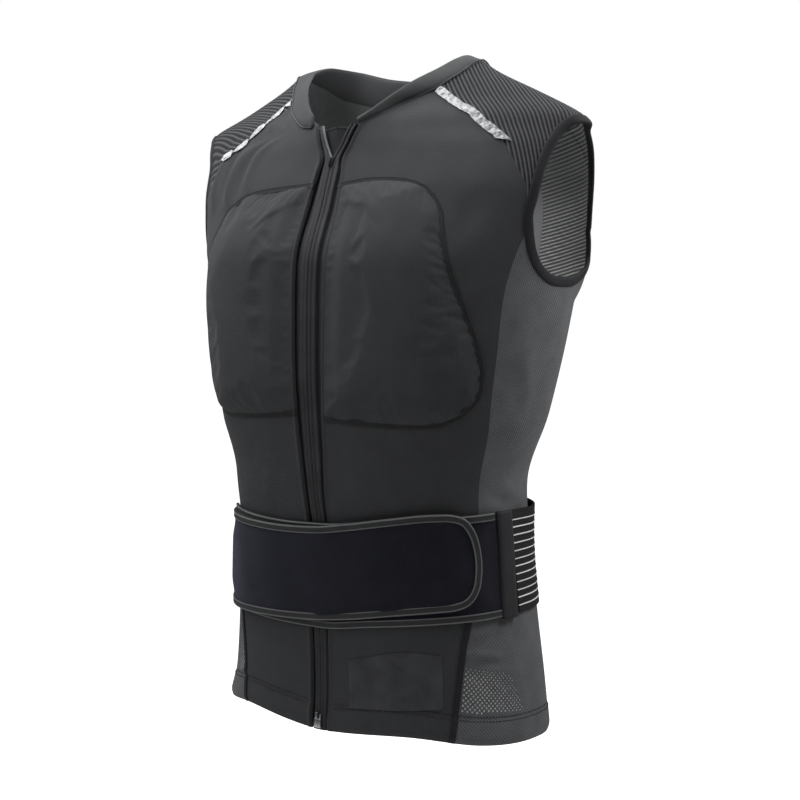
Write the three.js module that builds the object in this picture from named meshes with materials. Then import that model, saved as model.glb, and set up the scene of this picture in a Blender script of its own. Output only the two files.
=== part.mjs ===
// A sleeveless back protector vest, in the form it has when it is worn: a zipped front with two
// padded chest panels, rib-knit shoulder yokes, mesh sides, a padded back and a waist belt.
// Millimetres, +Z up. The wearer faces -Y and the wearer's left is +X. The origin lies midway
// between the two side-neck points, at the level of the shoulder seams.

import * as THREE from 'three';

// Thickness of each cloth and pad
const FRONT_THICKNESS = 2;
const BACK_THICKNESS = 2;
const YOKE_THICKNESS = 2;
const SIDE_THICKNESS = 1.5;
const NECK_THICKNESS = 3;
const TAPE_THICKNESS = 1.4;
const STRIP_THICKNESS = 0.9;
const POCKET_THICKNESS = 1.2;
const BINDING_INSIDE = 2.6;
const BINDING_OUTSIDE = 1;
const BELT_THICKNESS = 3.5;
const ELASTIC_THICKNESS = 2;
const TAB_THICKNESS = 4.8;
const BELT_EDGE_THICKNESS = 4.3;
const CHEST_PAD_HEIGHT = 9;
const BACK_PAD_HEIGHT = 13;
const PAD_SKIN = 1.2;
const PAD_SHOULDER = 0.2;

// Clear gap between two pieces that are sewn edge to edge, between two stacked layers, and under
// the belt, which stands off the hollow of the waist
const SEAM_GAP = 0.6;
const NECK_GAP = 1.2;
const LAYER_GAP = 1;
const BELT_GAP = 2.2;

// Widths of the trims
const ARM_BINDING_WIDTH = 8;
const BELT_BINDING_WIDTH = 6;
const STRIP_WIDTH = 7;

// Segments along each seam, shared by the pieces that meet there
const SIDE_ROWS = 12;
const ARM_FRONT_ROWS = 2;
const ARM_BACK_ROWS = 3;
const ARM_BOTTOM_COLUMNS = 6;
const YOKE_ROWS = 6;
const YOKE_COLUMNS = 12;
const ZIP_UPPER_ROWS = 5;
const NECK_FRONT_ROWS = 3;
const NECK_SIDE_COLUMNS = 2;
const NECK_BACK_COLUMNS = 8;
const FRONT_COLUMNS = 8;
const BELT_COLUMNS = 24;
const BELT_ROWS = 2;
const BELT_END_ROWS = 3;

// Turns a header and its rows into records with named fields
function table(columns, rows) {
  return rows.map((row) => Object.fromEntries(columns.map((name, i) => [name, row[i]])));
}

// Level sections of the body, from below the hem to the neck. half is the half width, front and
// back the depths before and behind the centre. A spread above 1 draws the section to a point at
// the middle, below 1 it squares it, and the crown does the same at the sides.
const BODY = table(
  ['z', 'half', 'front', 'back', 'frontSpread', 'backSpread', 'crown', 'centre'],
  [
    [-680, 185, 120, 112, 0.86, 0.9, 0.86, 0],
    [-600, 170, 109, 103, 0.86, 0.9, 0.86, 0],
    [-520, 162, 108, 97, 0.86, 0.9, 0.86, -3],
    [-450, 158, 100, 90, 0.86, 0.9, 0.86, -9],
    [-400, 157, 104, 95, 0.86, 0.9, 0.86, -14],
    [-330, 180, 113, 101, 0.86, 0.9, 0.86, -12],
    [-260, 194, 121, 107, 0.85, 0.88, 0.86, -6],
    [-190, 203, 124, 118, 0.85, 0.86, 0.86, 0],
    [-130, 219, 108, 112, 0.9, 0.9, 0.86, 6],
    [-80, 227, 90, 93, 1.15, 1, 1, 5],
    [-58.5, 228, 88, 88, 2.2, 1.1, 1.15, 2],
    [-36.5, 181, 66, 78, 2.3, 1.2, 1.25, 0],
    [-2.5, 112, 50, 66, 2.3, 1.2, 1.25, 0],
    [10.5, 100, 46, 58, 2.3, 1.2, 1.25, 0],
  ],
);

// Lower edge: its level against the turn from the centre front, in degrees either way
const HEM = table(['turn', 'z'], [
  [0, -635],
  [30, -629],
  [60, -633],
  [90, -637],
  [130, -643],
  [180, -646],
]);

// Zip, hem to neck: the slit between its two tapes and the outer edge of each, from the middle
const ZIP = table(['z', 'slit', 'edge'], [
  [-635, 0.3, 9.5],
  [-540, 0.3, 10],
  [-405, 0.3, 11.5],
  [-365, 0.3, 13.5],
  [-285, 0.3, 16],
  [-164, 0.3, 17],
  [-110, 0.3, 14],
  [-94, 0.3, 12],
  [-78, 8, 18],
  [-60, 16, 25],
]);
const ZIP_MIDDLE = -150;

// Seam between the front and each side, from below the belt to the armhole
const SIDE_SEAM = table(['z', 'left', 'right'], [
  [-591, 50, 39],
  [-550, 54, 44],
  [-522, 57.7, 49],
  [-470, 63, 59],
  [-420, 67, 66],
  [-378, 67.5, 67.5],
  [-321, 63.5, 63.5],
  [-271, 62, 62],
  [-223, 61.5, 61.5],
  [-177, 64, 64],
]);
const SIDE_SEAM_HEM = { left: 47, right: 36 };

// Seam between each side and the back, and the two seams of the centre back
const BACK_SIDE_SEAM = table(['turn', 'z'], [
  [121, -520],
  [121, -400],
  [118, -300],
]);
const BACK_SIDE_HEM = 122;
const BACK_SEAM_TURN = 150;
const BACK_SEAM_MIDDLE = -200;
const BACK_SEAM_UPPER = -105;

// Armhole, by its stretches: the front, over the shoulder tip, the back and the underarm
const ARM_UNDER_FRONT = { turn: 64.9, z: -163.5 };
const ARM_YOKE_FRONT = { turn: 61.2, z: -138.7 };
const ARM_YOKE_BACK = { turn: 118, z: -105 };
const ARM_UNDER_BACK = { turn: 116, z: -186 };
const ARM_FRONT_BEND = { turn: 62, z: -149 };
const ARM_BACK_BEND = { turn: 118.6, z: -142 };
const ARM_SHOULDER = table(['turn', 'z'], [
  [62.4, -104],
  [67, -79],
  [77, -60],
  [90, -56.5],
  [103, -57.5],
  [111, -64],
  [114.5, -74],
  [117, -88],
]);
const ARM_UNDER = table(['turn', 'z'], [
  [110, -202],
  [100, -209],
  [90, -210],
  [82, -207],
  [75, -197],
  [69.5, -182],
]);

// Front and back seams of the yoke, from the armhole to the neck
const YOKE_FRONT = table(['turn', 'z'], [
  [58.2, -122],
  [54.6, -103],
  [51.8, -86],
  [51.2, -73],
  [51.6, -61],
  [50.4, -47],
  [49, -36],
]);
const YOKE_BACK = table(['turn', 'z'], [
  [124, -84],
  [131, -53],
]);

// Neck seam on the body, front to back, with the free upper edge of the neck band beside it
const NECK_START = { turn: 21, z: -58 };
const NECK_YOKE_FRONT = { turn: 47.1, z: -29.1 };
const NECK_YOKE_BACK = { turn: 137, z: -20 };
const NECK_BACK_SEAM = { turn: 151, z: -27 };
const NECK_BACK = { turn: 180, z: -31 };
const NECK_FRONT_END = { turn: 44.9, z: -31.1 };
const NECK_FRONT = table(['turn', 'z'], [
  [28.8, -50.4],
  [36.2, -39.8],
]);
const NECK_SHOULDER = table(['turn', 'z'], [
  [58, -17.5],
  [75, -4.2],
  [90, -0.6],
  [104, -2],
  [121, -9],
]);
const NECK_TOP = table(['turn', 'x', 'y', 'z'], [
  [21, 22, -84, -58],
  [35, 45, -68, -39],
  [46.6, 61.5, -50, -22],
  [60, 76.5, -26, -7.5],
  [90, 84, -5, 3.5],
  [110, 82, 19, 9],
  [133, 69.5, 46.5, 6.3],
  [155, 40, 58, -1.5],
  [180, 0, 61, -7],
]);

// Chest pads: corner to corner, as turn and level on each side
const PAD_COLUMNS = ['left', 'leftZ', 'right', 'rightZ'];
const PAD_TOP = table(PAD_COLUMNS, [
  [5, -118, 5.5, -117],
  [13, -114, 16.7, -120],
  [22, -116, 27, -127],
  [27, -122, 33, -136],
]);
const PAD_OUTER = table(PAD_COLUMNS, [
  [51, -326, 52, -328],
  [56.5, -311, 60, -312],
  [56.8, -291, 62, -290],
  [53.6, -267, 60.5, -262],
  [45.4, -223, 56, -225],
  [36.4, -171, 46, -175],
  [31.9, -140, 38, -147],
  [27, -122, 33, -136],
]);
const PAD_BOTTOM = table(PAD_COLUMNS, [
  [5, -333, 5, -330],
  [20.6, -336, 20, -335],
  [41, -335.5, 40, -337],
  [51, -326, 52, -328],
]);
const PAD_INNER = table(PAD_COLUMNS, [
  [5, -333, 5, -330],
  [4.6, -225, 4.6, -225],
  [5, -118, 5.5, -117],
]);
const PAD_ROWS = 12;
const PAD_CROSS = 8;

// Back pad: half turn of its edge about the centre back, from its lower to its upper end
const BACK_PAD = table(['half', 'z'], [
  [19, -394],
  [23.5, -380],
  [25, -330],
  [26.5, -250],
  [27, -170],
  [25.5, -118],
  [20, -100],
]);
const BACK_PAD_LOW = -398;
const BACK_PAD_HIGH = -94;
const BACK_PAD_ROWS = 12;
const BACK_PAD_CROSS = 8;

// Belt: levels of the upper and lower edges against the turn
const WING = table(['turn', 'top', 'bottom'], [
  [-60, -431, -534],
  [-14, -437, -533],
  [0, -435.5, -532.5],
  [18, -430, -526],
  [44, -425, -519.5],
  [77.5, -421.6, -517],
]);
const FLAP = table(['turn', 'top', 'bottom'], [
  [-77.5, -437, -534],
  [-51, -441, -537],
  [-20, -444.5, -532.5],
  [-4, -444, -530],
  [11, -434.5, -522.5],
  [28, -425.5, -515],
  [44, -421.5, -510],
  [55, -422.5, -508],
]);
const FLAP_END = table(['turn', 'z'], [
  [61.5, -430.5],
  [65, -446],
  [66.5, -464],
  [65, -484.5],
  [62, -498],
]);
const ELASTIC = table(['turn', 'top', 'bottom'], [
  [88, -421, -519],
  [112, -418, -514],
  [180, -415, -511],
  [248, -424, -520],
  [272, -434, -531],
]);
const TAB = table(['turn', 'top', 'bottom'], [
  [78.1, -419.5, -519.5],
  [87.4, -418.5, -520.5],
]);
const RIGHT_TAB_DROP = -14;
// The flap steps down from the wing to the body between these two turns
const FLAP_STEP = { low: -74, high: -61 };
const MM_PER_TURN = 2.6;

// Mesh pocket on the lower front, wearer's left: its arched upper edge and its lower edge
const POCKET_TOP = table(['turn', 'z'], [
  [9, -563],
  [28, -550],
  [45, -551.5],
]);
const POCKET_BOTTOM = table(['turn', 'z'], [
  [9, -609],
  [28, -605],
  [44, -601],
]);
const POCKET_ROWS = 4;
const POCKET_COLUMNS = 8;

// Panel that closes the open top of the zip from behind
const UNDERLAP = { half: 20, top: -61, bottom: -124, depth: 7, thickness: 1.4, rows: 5, columns: 4 };

// Metal ends of the zip
const SLIDER = { z: -98, width: 9, length: 13, thickness: 4.4, waist: 6 };
const PIN_BOX = { z: -626, width: 8, length: 13, thickness: 3.2 };

// Cubic through the rows of a table that never overshoots them
function interpolate(rows, key, column, at) {
  const last = rows.length - 1;
  const step = (n) => rows[n + 1][key] - rows[n][key];
  const rise = (n) => (rows[n + 1][column] - rows[n][column]) / step(n);
  const slope = (n) => {
    if (n === 0) return rise(0);
    if (n === last) return rise(last - 1);
    if (rise(n - 1) * rise(n) <= 0) return 0;
    const before = 2 * step(n) + step(n - 1);
    const after = step(n) + 2 * step(n - 1);
    return (before + after) / (before / rise(n - 1) + after / rise(n));
  };
  const next = rows.findIndex((row) => row[key] >= at);
  const i = next < 0 ? last - 1 : Math.max(next - 1, 0);
  const t = (at - rows[i][key]) / step(i);
  const start = rows[i][column] * (1 + 2 * t) * (1 - t) ** 2 + slope(i) * step(i) * t * (1 - t) ** 2;
  const end = rows[i + 1][column] * t * t * (3 - 2 * t) + slope(i + 1) * step(i) * t * t * (t - 1);
  return start + end;
}

// Point of the body at a turn from the centre front (degrees, wearer's left positive) and a level
function bodyPoint(turn, z) {
  const at = (column) => interpolate(BODY, 'z', column, z);
  const side = Math.sin(THREE.MathUtils.degToRad(turn));
  const fore = Math.cos(THREE.MathUtils.degToRad(turn));
  const spread = at(fore > 0 ? 'frontSpread' : 'backSpread');
  const depth = at(fore > 0 ? 'front' : 'back');
  const x = at('half') * Math.sign(side) * Math.abs(side) ** spread;
  const y = at('centre') - depth * Math.sign(fore) * Math.abs(fore) ** at('crown');
  return new THREE.Vector3(x, y, z);
}

function bodyNormal(turn, z) {
  const around = bodyPoint(turn + 1, z).sub(bodyPoint(turn - 1, z));
  const up = bodyPoint(turn, z + 1).sub(bodyPoint(turn, z - 1));
  return around.cross(up).normalize();
}

// Turn of the front point that lies a given distance from the middle at a level
function turnAt(x, z) {
  const share = x / interpolate(BODY, 'z', 'half', z);
  const spread = interpolate(BODY, 'z', 'frontSpread', z);
  return THREE.MathUtils.radToDeg(Math.asin(share ** (1 / spread)));
}

// Seams are lists of turn and level. seam runs a smooth one through its points
const spot = (row) => new THREE.Vector2(row.turn, row.z);
const mirrored = (points) => points.map((p) => new THREE.Vector2(-p.x, p.y));
const reversed = (points) => [...points].reverse();
const joined = (...runs) => runs.reduce((all, run) => [...all, ...run.slice(1)]);

function seam(rows, segments) {
  return new THREE.SplineCurve(rows.map(spot)).getSpacedPoints(segments);
}

const hemSpot = (turn) => ({ turn, z: interpolate(HEM, 'turn', 'z', Math.abs(turn)) });

function hem(from, to, segments) {
  return Array.from({ length: segments + 1 }, (_, i) => (
    spot(hemSpot(THREE.MathUtils.lerp(from, to, i / segments)))
  ));
}

function straight(from, to, segments) {
  return Array.from({ length: segments + 1 }, (_, i) => from.clone().lerp(to, i / segments));
}

// Four-sided patch of a turn-and-level grid: bottom and top run across, left and right run upwards
function patch(bottom, top, left, right) {
  return left.map((_, row) => bottom.map((__, column) => {
    const u = column / (bottom.length - 1);
    const v = row / (left.length - 1);
    const low = bottom[0].clone().lerp(bottom.at(-1), u);
    const high = top[0].clone().lerp(top.at(-1), u);
    const across = left[row].clone().lerp(right[row], u);
    const along = bottom[column].clone().lerp(top[column], v);
    return across.add(along).sub(low.lerp(high, v));
  }));
}

// Patch between an upper and a lower edge that share their turns
function band(bottom, top, rows) {
  return Array.from({ length: rows + 1 }, (_, row) => (
    bottom.map((point, column) => point.clone().lerp(top[column], row / rows))
  ));
}

// Pulls the border of a grid of points inwards, so that neighbouring pieces keep their gap
function pullIn(points, distance) {
  const rows = points.length - 1;
  const columns = points[0].length - 1;
  const toward = (from, to) => to.clone().sub(from).setLength(distance);
  return points.map((row, i) => row.map((point, j) => {
    const moved = point.clone();
    if (i === 0) moved.add(toward(point, points[1][j]));
    if (i === rows) moved.add(toward(point, points[rows - 1][j]));
    if (j === 0) moved.add(toward(point, row[1]));
    if (j === columns) moved.add(toward(point, row[columns - 1]));
    return moved;
  }));
}

// Closed solid between two skins of the same grid. A looped one joins its last row to its first
function solid(outer, inner, looped = false) {
  const columns = outer[0].length;
  const rows = outer.length;
  const count = rows * columns;
  const positions = [...outer.flat(), ...inner.flat()].flatMap((p) => [p.x, p.y, p.z]);
  const index = [];
  const quad = (a, b, c, d) => index.push(a, b, c, a, c, d);
  const id = (i, j) => (i % rows) * columns + j;
  const corner = outer.flat();
  const apart = (a, b) => corner[a].distanceTo(corner[b]);
  for (let i = 0; i < (looped ? rows : rows - 1); i += 1) {
    for (let j = 0; j < columns - 1; j += 1) {
      const [a, b, c, d] = [id(i, j), id(i, j + 1), id(i + 1, j + 1), id(i + 1, j)];
      const ring = apart(a, c) <= apart(b, d) ? [a, b, c, d] : [b, c, d, a];
      const back = [ring[0], ring[3], ring[2], ring[1]].map((k) => k + count);
      quad(...ring);
      quad(...back);
    }
    quad(id(i, 0), id(i + 1, 0), count + id(i + 1, 0), count + id(i, 0));
    const end = columns - 1;
    quad(id(i, end), count + id(i, end), count + id(i + 1, end), id(i + 1, end));
  }
  for (let j = 0; j < columns - 1 && !looped; j += 1) {
    quad(id(0, j), count + id(0, j), count + id(0, j + 1), id(0, j + 1));
    const top = rows - 1;
    quad(id(top, j), id(top, j + 1), count + id(top, j + 1), count + id(top, j));
  }
  const geometry = new THREE.BufferGeometry();
  geometry.setAttribute('position', new THREE.Float32BufferAttribute(positions, 3));
  geometry.setIndex(facingOut(positions, index));
  return geometry;
}

// Triangles whose solid has a positive volume, turned round if they faced inwards
function facingOut(positions, index) {
  const corner = (k) => new THREE.Vector3().fromArray(positions, index[k] * 3);
  let volume = 0;
  for (let k = 0; k < index.length; k += 3) {
    volume += corner(k).dot(corner(k + 1).cross(corner(k + 2)));
  }
  return volume > 0 ? index : reversed(index);
}

// Piece that lies on the body: the grid is lifted along the body's normal to its two faces. A lift
// is a distance, or a function of the shares across and up the grid
function onBody(grid, innerLift, outerLift, gap = SEAM_GAP / 2, looped = false) {
  const flat = grid.map((row) => row.map((p) => bodyPoint(p.x, p.y)));
  const placed = gap > 0 ? pullIn(flat, gap) : flat;
  const face = (lift) => placed.map((row, i) => row.map((point, j) => {
    const share = [j / (row.length - 1), i / (grid.length - 1), grid[i][j].x];
    const distance = typeof lift === 'function' ? lift(...share) : lift;
    return bodyNormal(grid[i][j].x, grid[i][j].y).multiplyScalar(distance).add(point);
  }));
  return solid(face(outerLift), face(innerLift), looped);
}

// Line that follows a run of points at a distance to its left, in turn and level
function besides(points, distance) {
  return points.map((point, i) => {
    const before = points[Math.max(i - 1, 0)];
    const after = points[Math.min(i + 1, points.length - 1)];
    const along = new THREE.Vector2((after.x - before.x) * MM_PER_TURN, after.y - before.y).normalize();
    return new THREE.Vector2(
      point.x - (along.y * distance) / MM_PER_TURN,
      point.y + along.x * distance,
    );
  });
}

// Rounded plateau of a pad: 0 at its edge, 1 from the shoulder inwards
function plateau(u, v) {
  const edge = Math.min(u, 1 - u, v, 1 - v) / PAD_SHOULDER;
  return THREE.MathUtils.smoothstep(edge, 0, 1);
}

const vest = new THREE.Group();

function addPiece(name, geometry, color, roughness = 0.85, metalness = 0) {
  geometry.computeVertexNormals();
  const mesh = new THREE.Mesh(geometry, new THREE.MeshStandardMaterial({ color, roughness, metalness }));
  mesh.name = name;
  vest.add(mesh);
  return mesh;
}

const CHARCOAL = 0x343537;
const SIDE_GREY = 0x4b4f51;
const RIB_GREY = 0x3c3d3f;
const BLACK = 0x1c1c20;
const BAND_GREY = 0x4a4b4c;
const BELT_NAVY = 0x1b1c24;
const SILVER = 0xd2d4d4;
const METAL = 0x9a9b9b;

// Shared seams of the wearer's left side
const armFront = seam([ARM_UNDER_FRONT, ARM_FRONT_BEND, ARM_YOKE_FRONT], ARM_FRONT_ROWS);
const armShoulder = seam([ARM_YOKE_FRONT, ...ARM_SHOULDER, ARM_YOKE_BACK], YOKE_COLUMNS);
const armBack = seam([ARM_UNDER_BACK, ARM_BACK_BEND, ARM_YOKE_BACK], ARM_BACK_ROWS);
const armUnder = seam([ARM_UNDER_BACK, ...ARM_UNDER, ARM_UNDER_FRONT], ARM_BOTTOM_COLUMNS);
const yokeFront = seam([ARM_YOKE_FRONT, ...YOKE_FRONT, NECK_YOKE_FRONT], YOKE_ROWS);
const yokeBack = seam([ARM_YOKE_BACK, ...YOKE_BACK, NECK_YOKE_BACK], YOKE_ROWS);
const neckFront = seam([NECK_START, ...NECK_FRONT, NECK_FRONT_END], NECK_FRONT_ROWS);
const neckShoulder = seam([NECK_YOKE_FRONT, ...NECK_SHOULDER, NECK_YOKE_BACK], YOKE_COLUMNS);
const neckSide = seam([NECK_YOKE_BACK, NECK_BACK_SEAM], NECK_SIDE_COLUMNS);
const neckBack = seam([NECK_BACK_SEAM, NECK_BACK], NECK_BACK_COLUMNS / 2);

function sideSeam(side) {
  const rows = SIDE_SEAM.map((row) => ({ turn: row[side], z: row.z }));
  return seam([hemSpot(SIDE_SEAM_HEM[side]), ...rows, ARM_UNDER_FRONT], SIDE_ROWS);
}

function zipEdge(column, z) {
  const x = interpolate(ZIP, 'z', column, z);
  return { turn: turnAt(x, z), z };
}

const backSide = seam([hemSpot(BACK_SIDE_HEM), ...BACK_SIDE_SEAM, ARM_UNDER_BACK], SIDE_ROWS);
const backSeam = joined(
  seam([hemSpot(BACK_SEAM_TURN), { turn: BACK_SEAM_TURN, z: BACK_SEAM_MIDDLE }], SIDE_ROWS),
  seam(
    [{ turn: BACK_SEAM_TURN, z: BACK_SEAM_MIDDLE }, { turn: BACK_SEAM_TURN, z: BACK_SEAM_UPPER }],
    ARM_BACK_ROWS,
  ),
  seam([{ turn: BACK_SEAM_TURN, z: BACK_SEAM_UPPER }, NECK_BACK_SEAM], YOKE_ROWS),
);

// Pieces made once for each side of the body
for (const side of ['left', 'right']) {
  const facing = (points) => (side === 'left' ? points : mirrored(points));

  // Front panel: from the zip and the neck seam to the side seam, the armhole and the yoke
  const outerSeam = sideSeam(side);
  const zipFoot = ZIP[0].z;
  const zipTop = ZIP.at(-1).z;
  const zipLower = Array.from({ length: SIDE_ROWS + 1 }, (_, i) => (
    spot(zipEdge('edge', THREE.MathUtils.lerp(zipFoot, ZIP_MIDDLE, i / SIDE_ROWS)))
  ));
  const zipUpper = Array.from({ length: ZIP_UPPER_ROWS + 1 }, (_, i) => (
    spot(zipEdge('edge', THREE.MathUtils.lerp(ZIP_MIDDLE, zipTop, i / ZIP_UPPER_ROWS)))
  ));
  const innerEdge = joined(zipLower, zipUpper, neckFront);
  const outerEdge = joined(outerSeam, armFront, yokeFront);
  const frontHem = hem(innerEdge[0].x, SIDE_SEAM_HEM[side], FRONT_COLUMNS);
  const frontTop = seam([NECK_FRONT_END, NECK_YOKE_FRONT], FRONT_COLUMNS);
  const frontGrid = patch(frontHem, frontTop, innerEdge, outerEdge);
  addPiece(`front_panel_${side}`, onBody(frontGrid.map(facing), -FRONT_THICKNESS, 0), CHARCOAL);

  // Shoulder yoke: over the shoulder, from its front seam to its back seam
  const yokeGrid = patch(armShoulder, neckShoulder, yokeFront, yokeBack);
  addPiece(`shoulder_yoke_${side}`, onBody(yokeGrid.map(facing), -YOKE_THICKNESS, 0), RIB_GREY);

  // Side panel: from hem to underarm
  const sideHem = hem(SIDE_SEAM_HEM[side], BACK_SIDE_HEM, ARM_BOTTOM_COLUMNS);
  const sideGrid = patch(sideHem, reversed(armUnder), outerSeam, backSide);
  addPiece(`side_panel_${side}`, onBody(sideGrid.map(facing), -SIDE_THICKNESS, 0), SIDE_GREY);

  // Side of the back: rib knit between the side panel and the centre back
  const ribHem = hem(BACK_SIDE_HEM, BACK_SEAM_TURN, NECK_SIDE_COLUMNS * 2);
  const ribTop = seam([NECK_YOKE_BACK, NECK_BACK_SEAM], NECK_SIDE_COLUMNS * 2);
  const ribGrid = patch(ribHem, ribTop, joined(backSide, armBack, yokeBack), backSeam);
  addPiece(`back_side_${side}`, onBody(ribGrid.map(facing), -BACK_THICKNESS, 0), RIB_GREY);

  // Binding round the armhole, turned over the raw edges
  const armLoop = joined(armFront, armShoulder, reversed(armBack), armUnder).slice(1);
  const closedLoop = [armLoop.at(-1), ...armLoop, armLoop[0]];
  const armEdge = besides(closedLoop, -ARM_BINDING_WIDTH).slice(1, -1);
  const armGrid = armLoop.map((point, i) => [point, armEdge[i]]);
  const armRing = onBody(armGrid.map(facing), -BINDING_INSIDE, BINDING_OUTSIDE, 0, true);
  addPiece(`armhole_binding_${side}`, armRing, BLACK);

  // Zip tape
  const tapeRows = joined(zipLower, zipUpper).map((edge) => {
    const slit = interpolate(ZIP, 'z', 'slit', edge.y);
    const sewn = interpolate(ZIP, 'z', 'edge', edge.y) - SEAM_GAP;
    return [slit, sewn].map((x) => new THREE.Vector2(turnAt(x, edge.y), edge.y));
  });
  addPiece(`zip_tape_${side}`, onBody(tapeRows.map(facing), -TAPE_THICKNESS, 0, 0), BLACK);

  // Chest pad: a rounded plateau on the front panel
  const padSeam = (rows, segments) => seam(
    rows.map((row) => ({ turn: row[side], z: row[`${side}Z`] })),
    segments,
  );
  const padGrid = patch(
    padSeam(PAD_BOTTOM, PAD_CROSS),
    padSeam(PAD_TOP, PAD_CROSS),
    padSeam(PAD_INNER, PAD_ROWS),
    padSeam(PAD_OUTER, PAD_ROWS),
  );
  const padTop = (u, v) => LAYER_GAP + PAD_SKIN + (CHEST_PAD_HEIGHT - PAD_SKIN) * plateau(u, v);
  addPiece(`chest_pad_${side}`, onBody(padGrid.map(facing), LAYER_GAP, padTop, 0), CHARCOAL);

  // Reflective strip over the front seam of the yoke
  const stripLine = yokeFront.slice(YOKE_ROWS / 2 - 1);
  const stripGrid = stripLine.map((point, i) => (
    [besides(stripLine, STRIP_WIDTH / 2)[i], besides(stripLine, -STRIP_WIDTH / 2)[i]]
  ));
  const strip = onBody(stripGrid.map(facing), LAYER_GAP, LAYER_GAP + STRIP_THICKNESS);
  addPiece(`reflective_strip_${side}`, strip, SILVER, 0.4);
}

// Centre back, with the neck dip at its top
const backHem = hem(BACK_SEAM_TURN, 180, NECK_BACK_COLUMNS / 2);
const across = (half) => joined(half, reversed(half).map((p) => new THREE.Vector2(360 - p.x, p.y)));
const farSide = (points) => points.map((p) => new THREE.Vector2(360 - p.x, p.y));
const backGrid = patch(across(backHem), across(neckBack), backSeam, farSide(backSeam));
addPiece('back_panel', onBody(backGrid, -BACK_THICKNESS, 0), CHARCOAL);

// Padded protector over the spine
const backPadEdge = seam(BACK_PAD.map((row) => ({ turn: 180 - row.half, z: row.z })), BACK_PAD_ROWS);
const padFoot = { turn: 180, z: BACK_PAD_LOW };
const padHead = { turn: 180, z: BACK_PAD_HIGH };
const backPadGrid = patch(
  straight(backPadEdge[0], spot(padFoot), BACK_PAD_CROSS / 2),
  straight(backPadEdge.at(-1), spot(padHead), BACK_PAD_CROSS / 2),
  backPadEdge,
  straight(spot(padFoot), spot(padHead), BACK_PAD_ROWS),
).map(across);
const backPadTop = (u, v) => LAYER_GAP + PAD_SKIN + (BACK_PAD_HEIGHT - PAD_SKIN) * plateau(u, v);
addPiece('back_protector', onBody(backPadGrid, LAYER_GAP, backPadTop, 0), CHARCOAL);

// Neck band: a strip from the neck seam to its free upper edge, open at the zip
const neckHalf = [...neckFront, ...neckShoulder, ...neckSide.slice(1), ...neckBack.slice(1)];
const neckRows = neckHalf.map((point) => {
  const low = bodyPoint(point.x, point.y);
  const at = (column) => interpolate(NECK_TOP, 'turn', column, point.x);
  const high = new THREE.Vector3(at('x'), at('y'), at('z'));
  const foot = low.clone().add(high.clone().sub(low).setLength(NECK_GAP));
  return [foot, foot.clone().lerp(high, 0.5), high];
});
const otherSide = reversed(neckRows).slice(1)
  .map((row) => row.map((p) => new THREE.Vector3(-p.x, p.y, p.z)));
const neckOuter = [...neckRows, ...otherSide];
const neckInner = neckOuter.map((row, i) => {
  const before = neckOuter[Math.max(i - 1, 0)][1];
  const after = neckOuter[Math.min(i + 1, neckOuter.length - 1)][1];
  const inward = after.clone().sub(before).cross(row[2].clone().sub(row[0])).setLength(-NECK_THICKNESS);
  return row.map((point) => point.clone().add(inward));
});
addPiece('neck_band', solid(neckOuter, neckInner), BAND_GREY);

// Panel behind the open top of the zip
const underlapTurn = (z) => turnAt(UNDERLAP.half, z);
const underlapGrid = Array.from({ length: UNDERLAP.rows + 1 }, (_, i) => {
  const z = THREE.MathUtils.lerp(UNDERLAP.bottom, UNDERLAP.top, i / UNDERLAP.rows);
  return Array.from({ length: UNDERLAP.columns + 1 }, (__, j) => (
    new THREE.Vector2(THREE.MathUtils.lerp(-1, 1, j / UNDERLAP.columns) * underlapTurn(z), z)
  ));
});
const underlapFace = -UNDERLAP.depth + UNDERLAP.thickness;
addPiece('zip_underlap', onBody(underlapGrid, -UNDERLAP.depth, underlapFace, 0), BLACK);

// Metal block laid on the front at a level, with its outline drawn across and up
function frontBlock(outline, z, thickness) {
  const shape = new THREE.Shape(outline.map(([x, y]) => new THREE.Vector2(x, y)));
  const block = new THREE.ExtrudeGeometry(shape, { depth: thickness, bevelEnabled: false });
  const outward = bodyNormal(0, z);
  const up = new THREE.Vector3(0, -outward.z, outward.y).multiplyScalar(-1);
  const frame = new THREE.Matrix4().makeBasis(new THREE.Vector3(1, 0, 0), up, outward);
  frame.setPosition(bodyPoint(0, z).addScaledVector(outward, LAYER_GAP));
  return block.applyMatrix4(frame);
}

const sliderOutline = [
  [-SLIDER.waist / 2, -SLIDER.length / 2],
  [SLIDER.waist / 2, -SLIDER.length / 2],
  [SLIDER.width / 2, SLIDER.length / 4],
  [SLIDER.waist / 2, SLIDER.length / 2],
  [-SLIDER.waist / 2, SLIDER.length / 2],
  [-SLIDER.width / 2, SLIDER.length / 4],
];
addPiece('zip_slider', frontBlock(sliderOutline, SLIDER.z, SLIDER.thickness), METAL, 0.35, 1);

const pinBoxOutline = [
  [-PIN_BOX.width / 2, -PIN_BOX.length / 2],
  [PIN_BOX.width / 2, -PIN_BOX.length / 2],
  [PIN_BOX.width / 2, PIN_BOX.length / 2],
  [-PIN_BOX.width / 2, PIN_BOX.length / 2],
];
addPiece('zip_pin_box', frontBlock(pinBoxOutline, PIN_BOX.z, PIN_BOX.thickness), METAL, 0.35, 1);

// Mesh pocket on the lower front
const pocketBottom = seam(POCKET_BOTTOM, POCKET_COLUMNS);
const pocketTop = seam(POCKET_TOP, POCKET_COLUMNS);
const pocketGrid = band(pocketBottom, pocketTop, POCKET_ROWS);
addPiece('mesh_pocket', onBody(pocketGrid, LAYER_GAP, LAYER_GAP + POCKET_THICKNESS, 0), CHARCOAL);

// Belt edges as runs of turn and level
function beltEdge(rows, column, segments) {
  const first = rows[0].turn;
  const last = rows.at(-1).turn;
  return Array.from({ length: segments + 1 }, (_, i) => {
    const turn = THREE.MathUtils.lerp(first, last, i / segments);
    return new THREE.Vector2(turn, interpolate(rows, 'turn', column, turn));
  });
}

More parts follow.
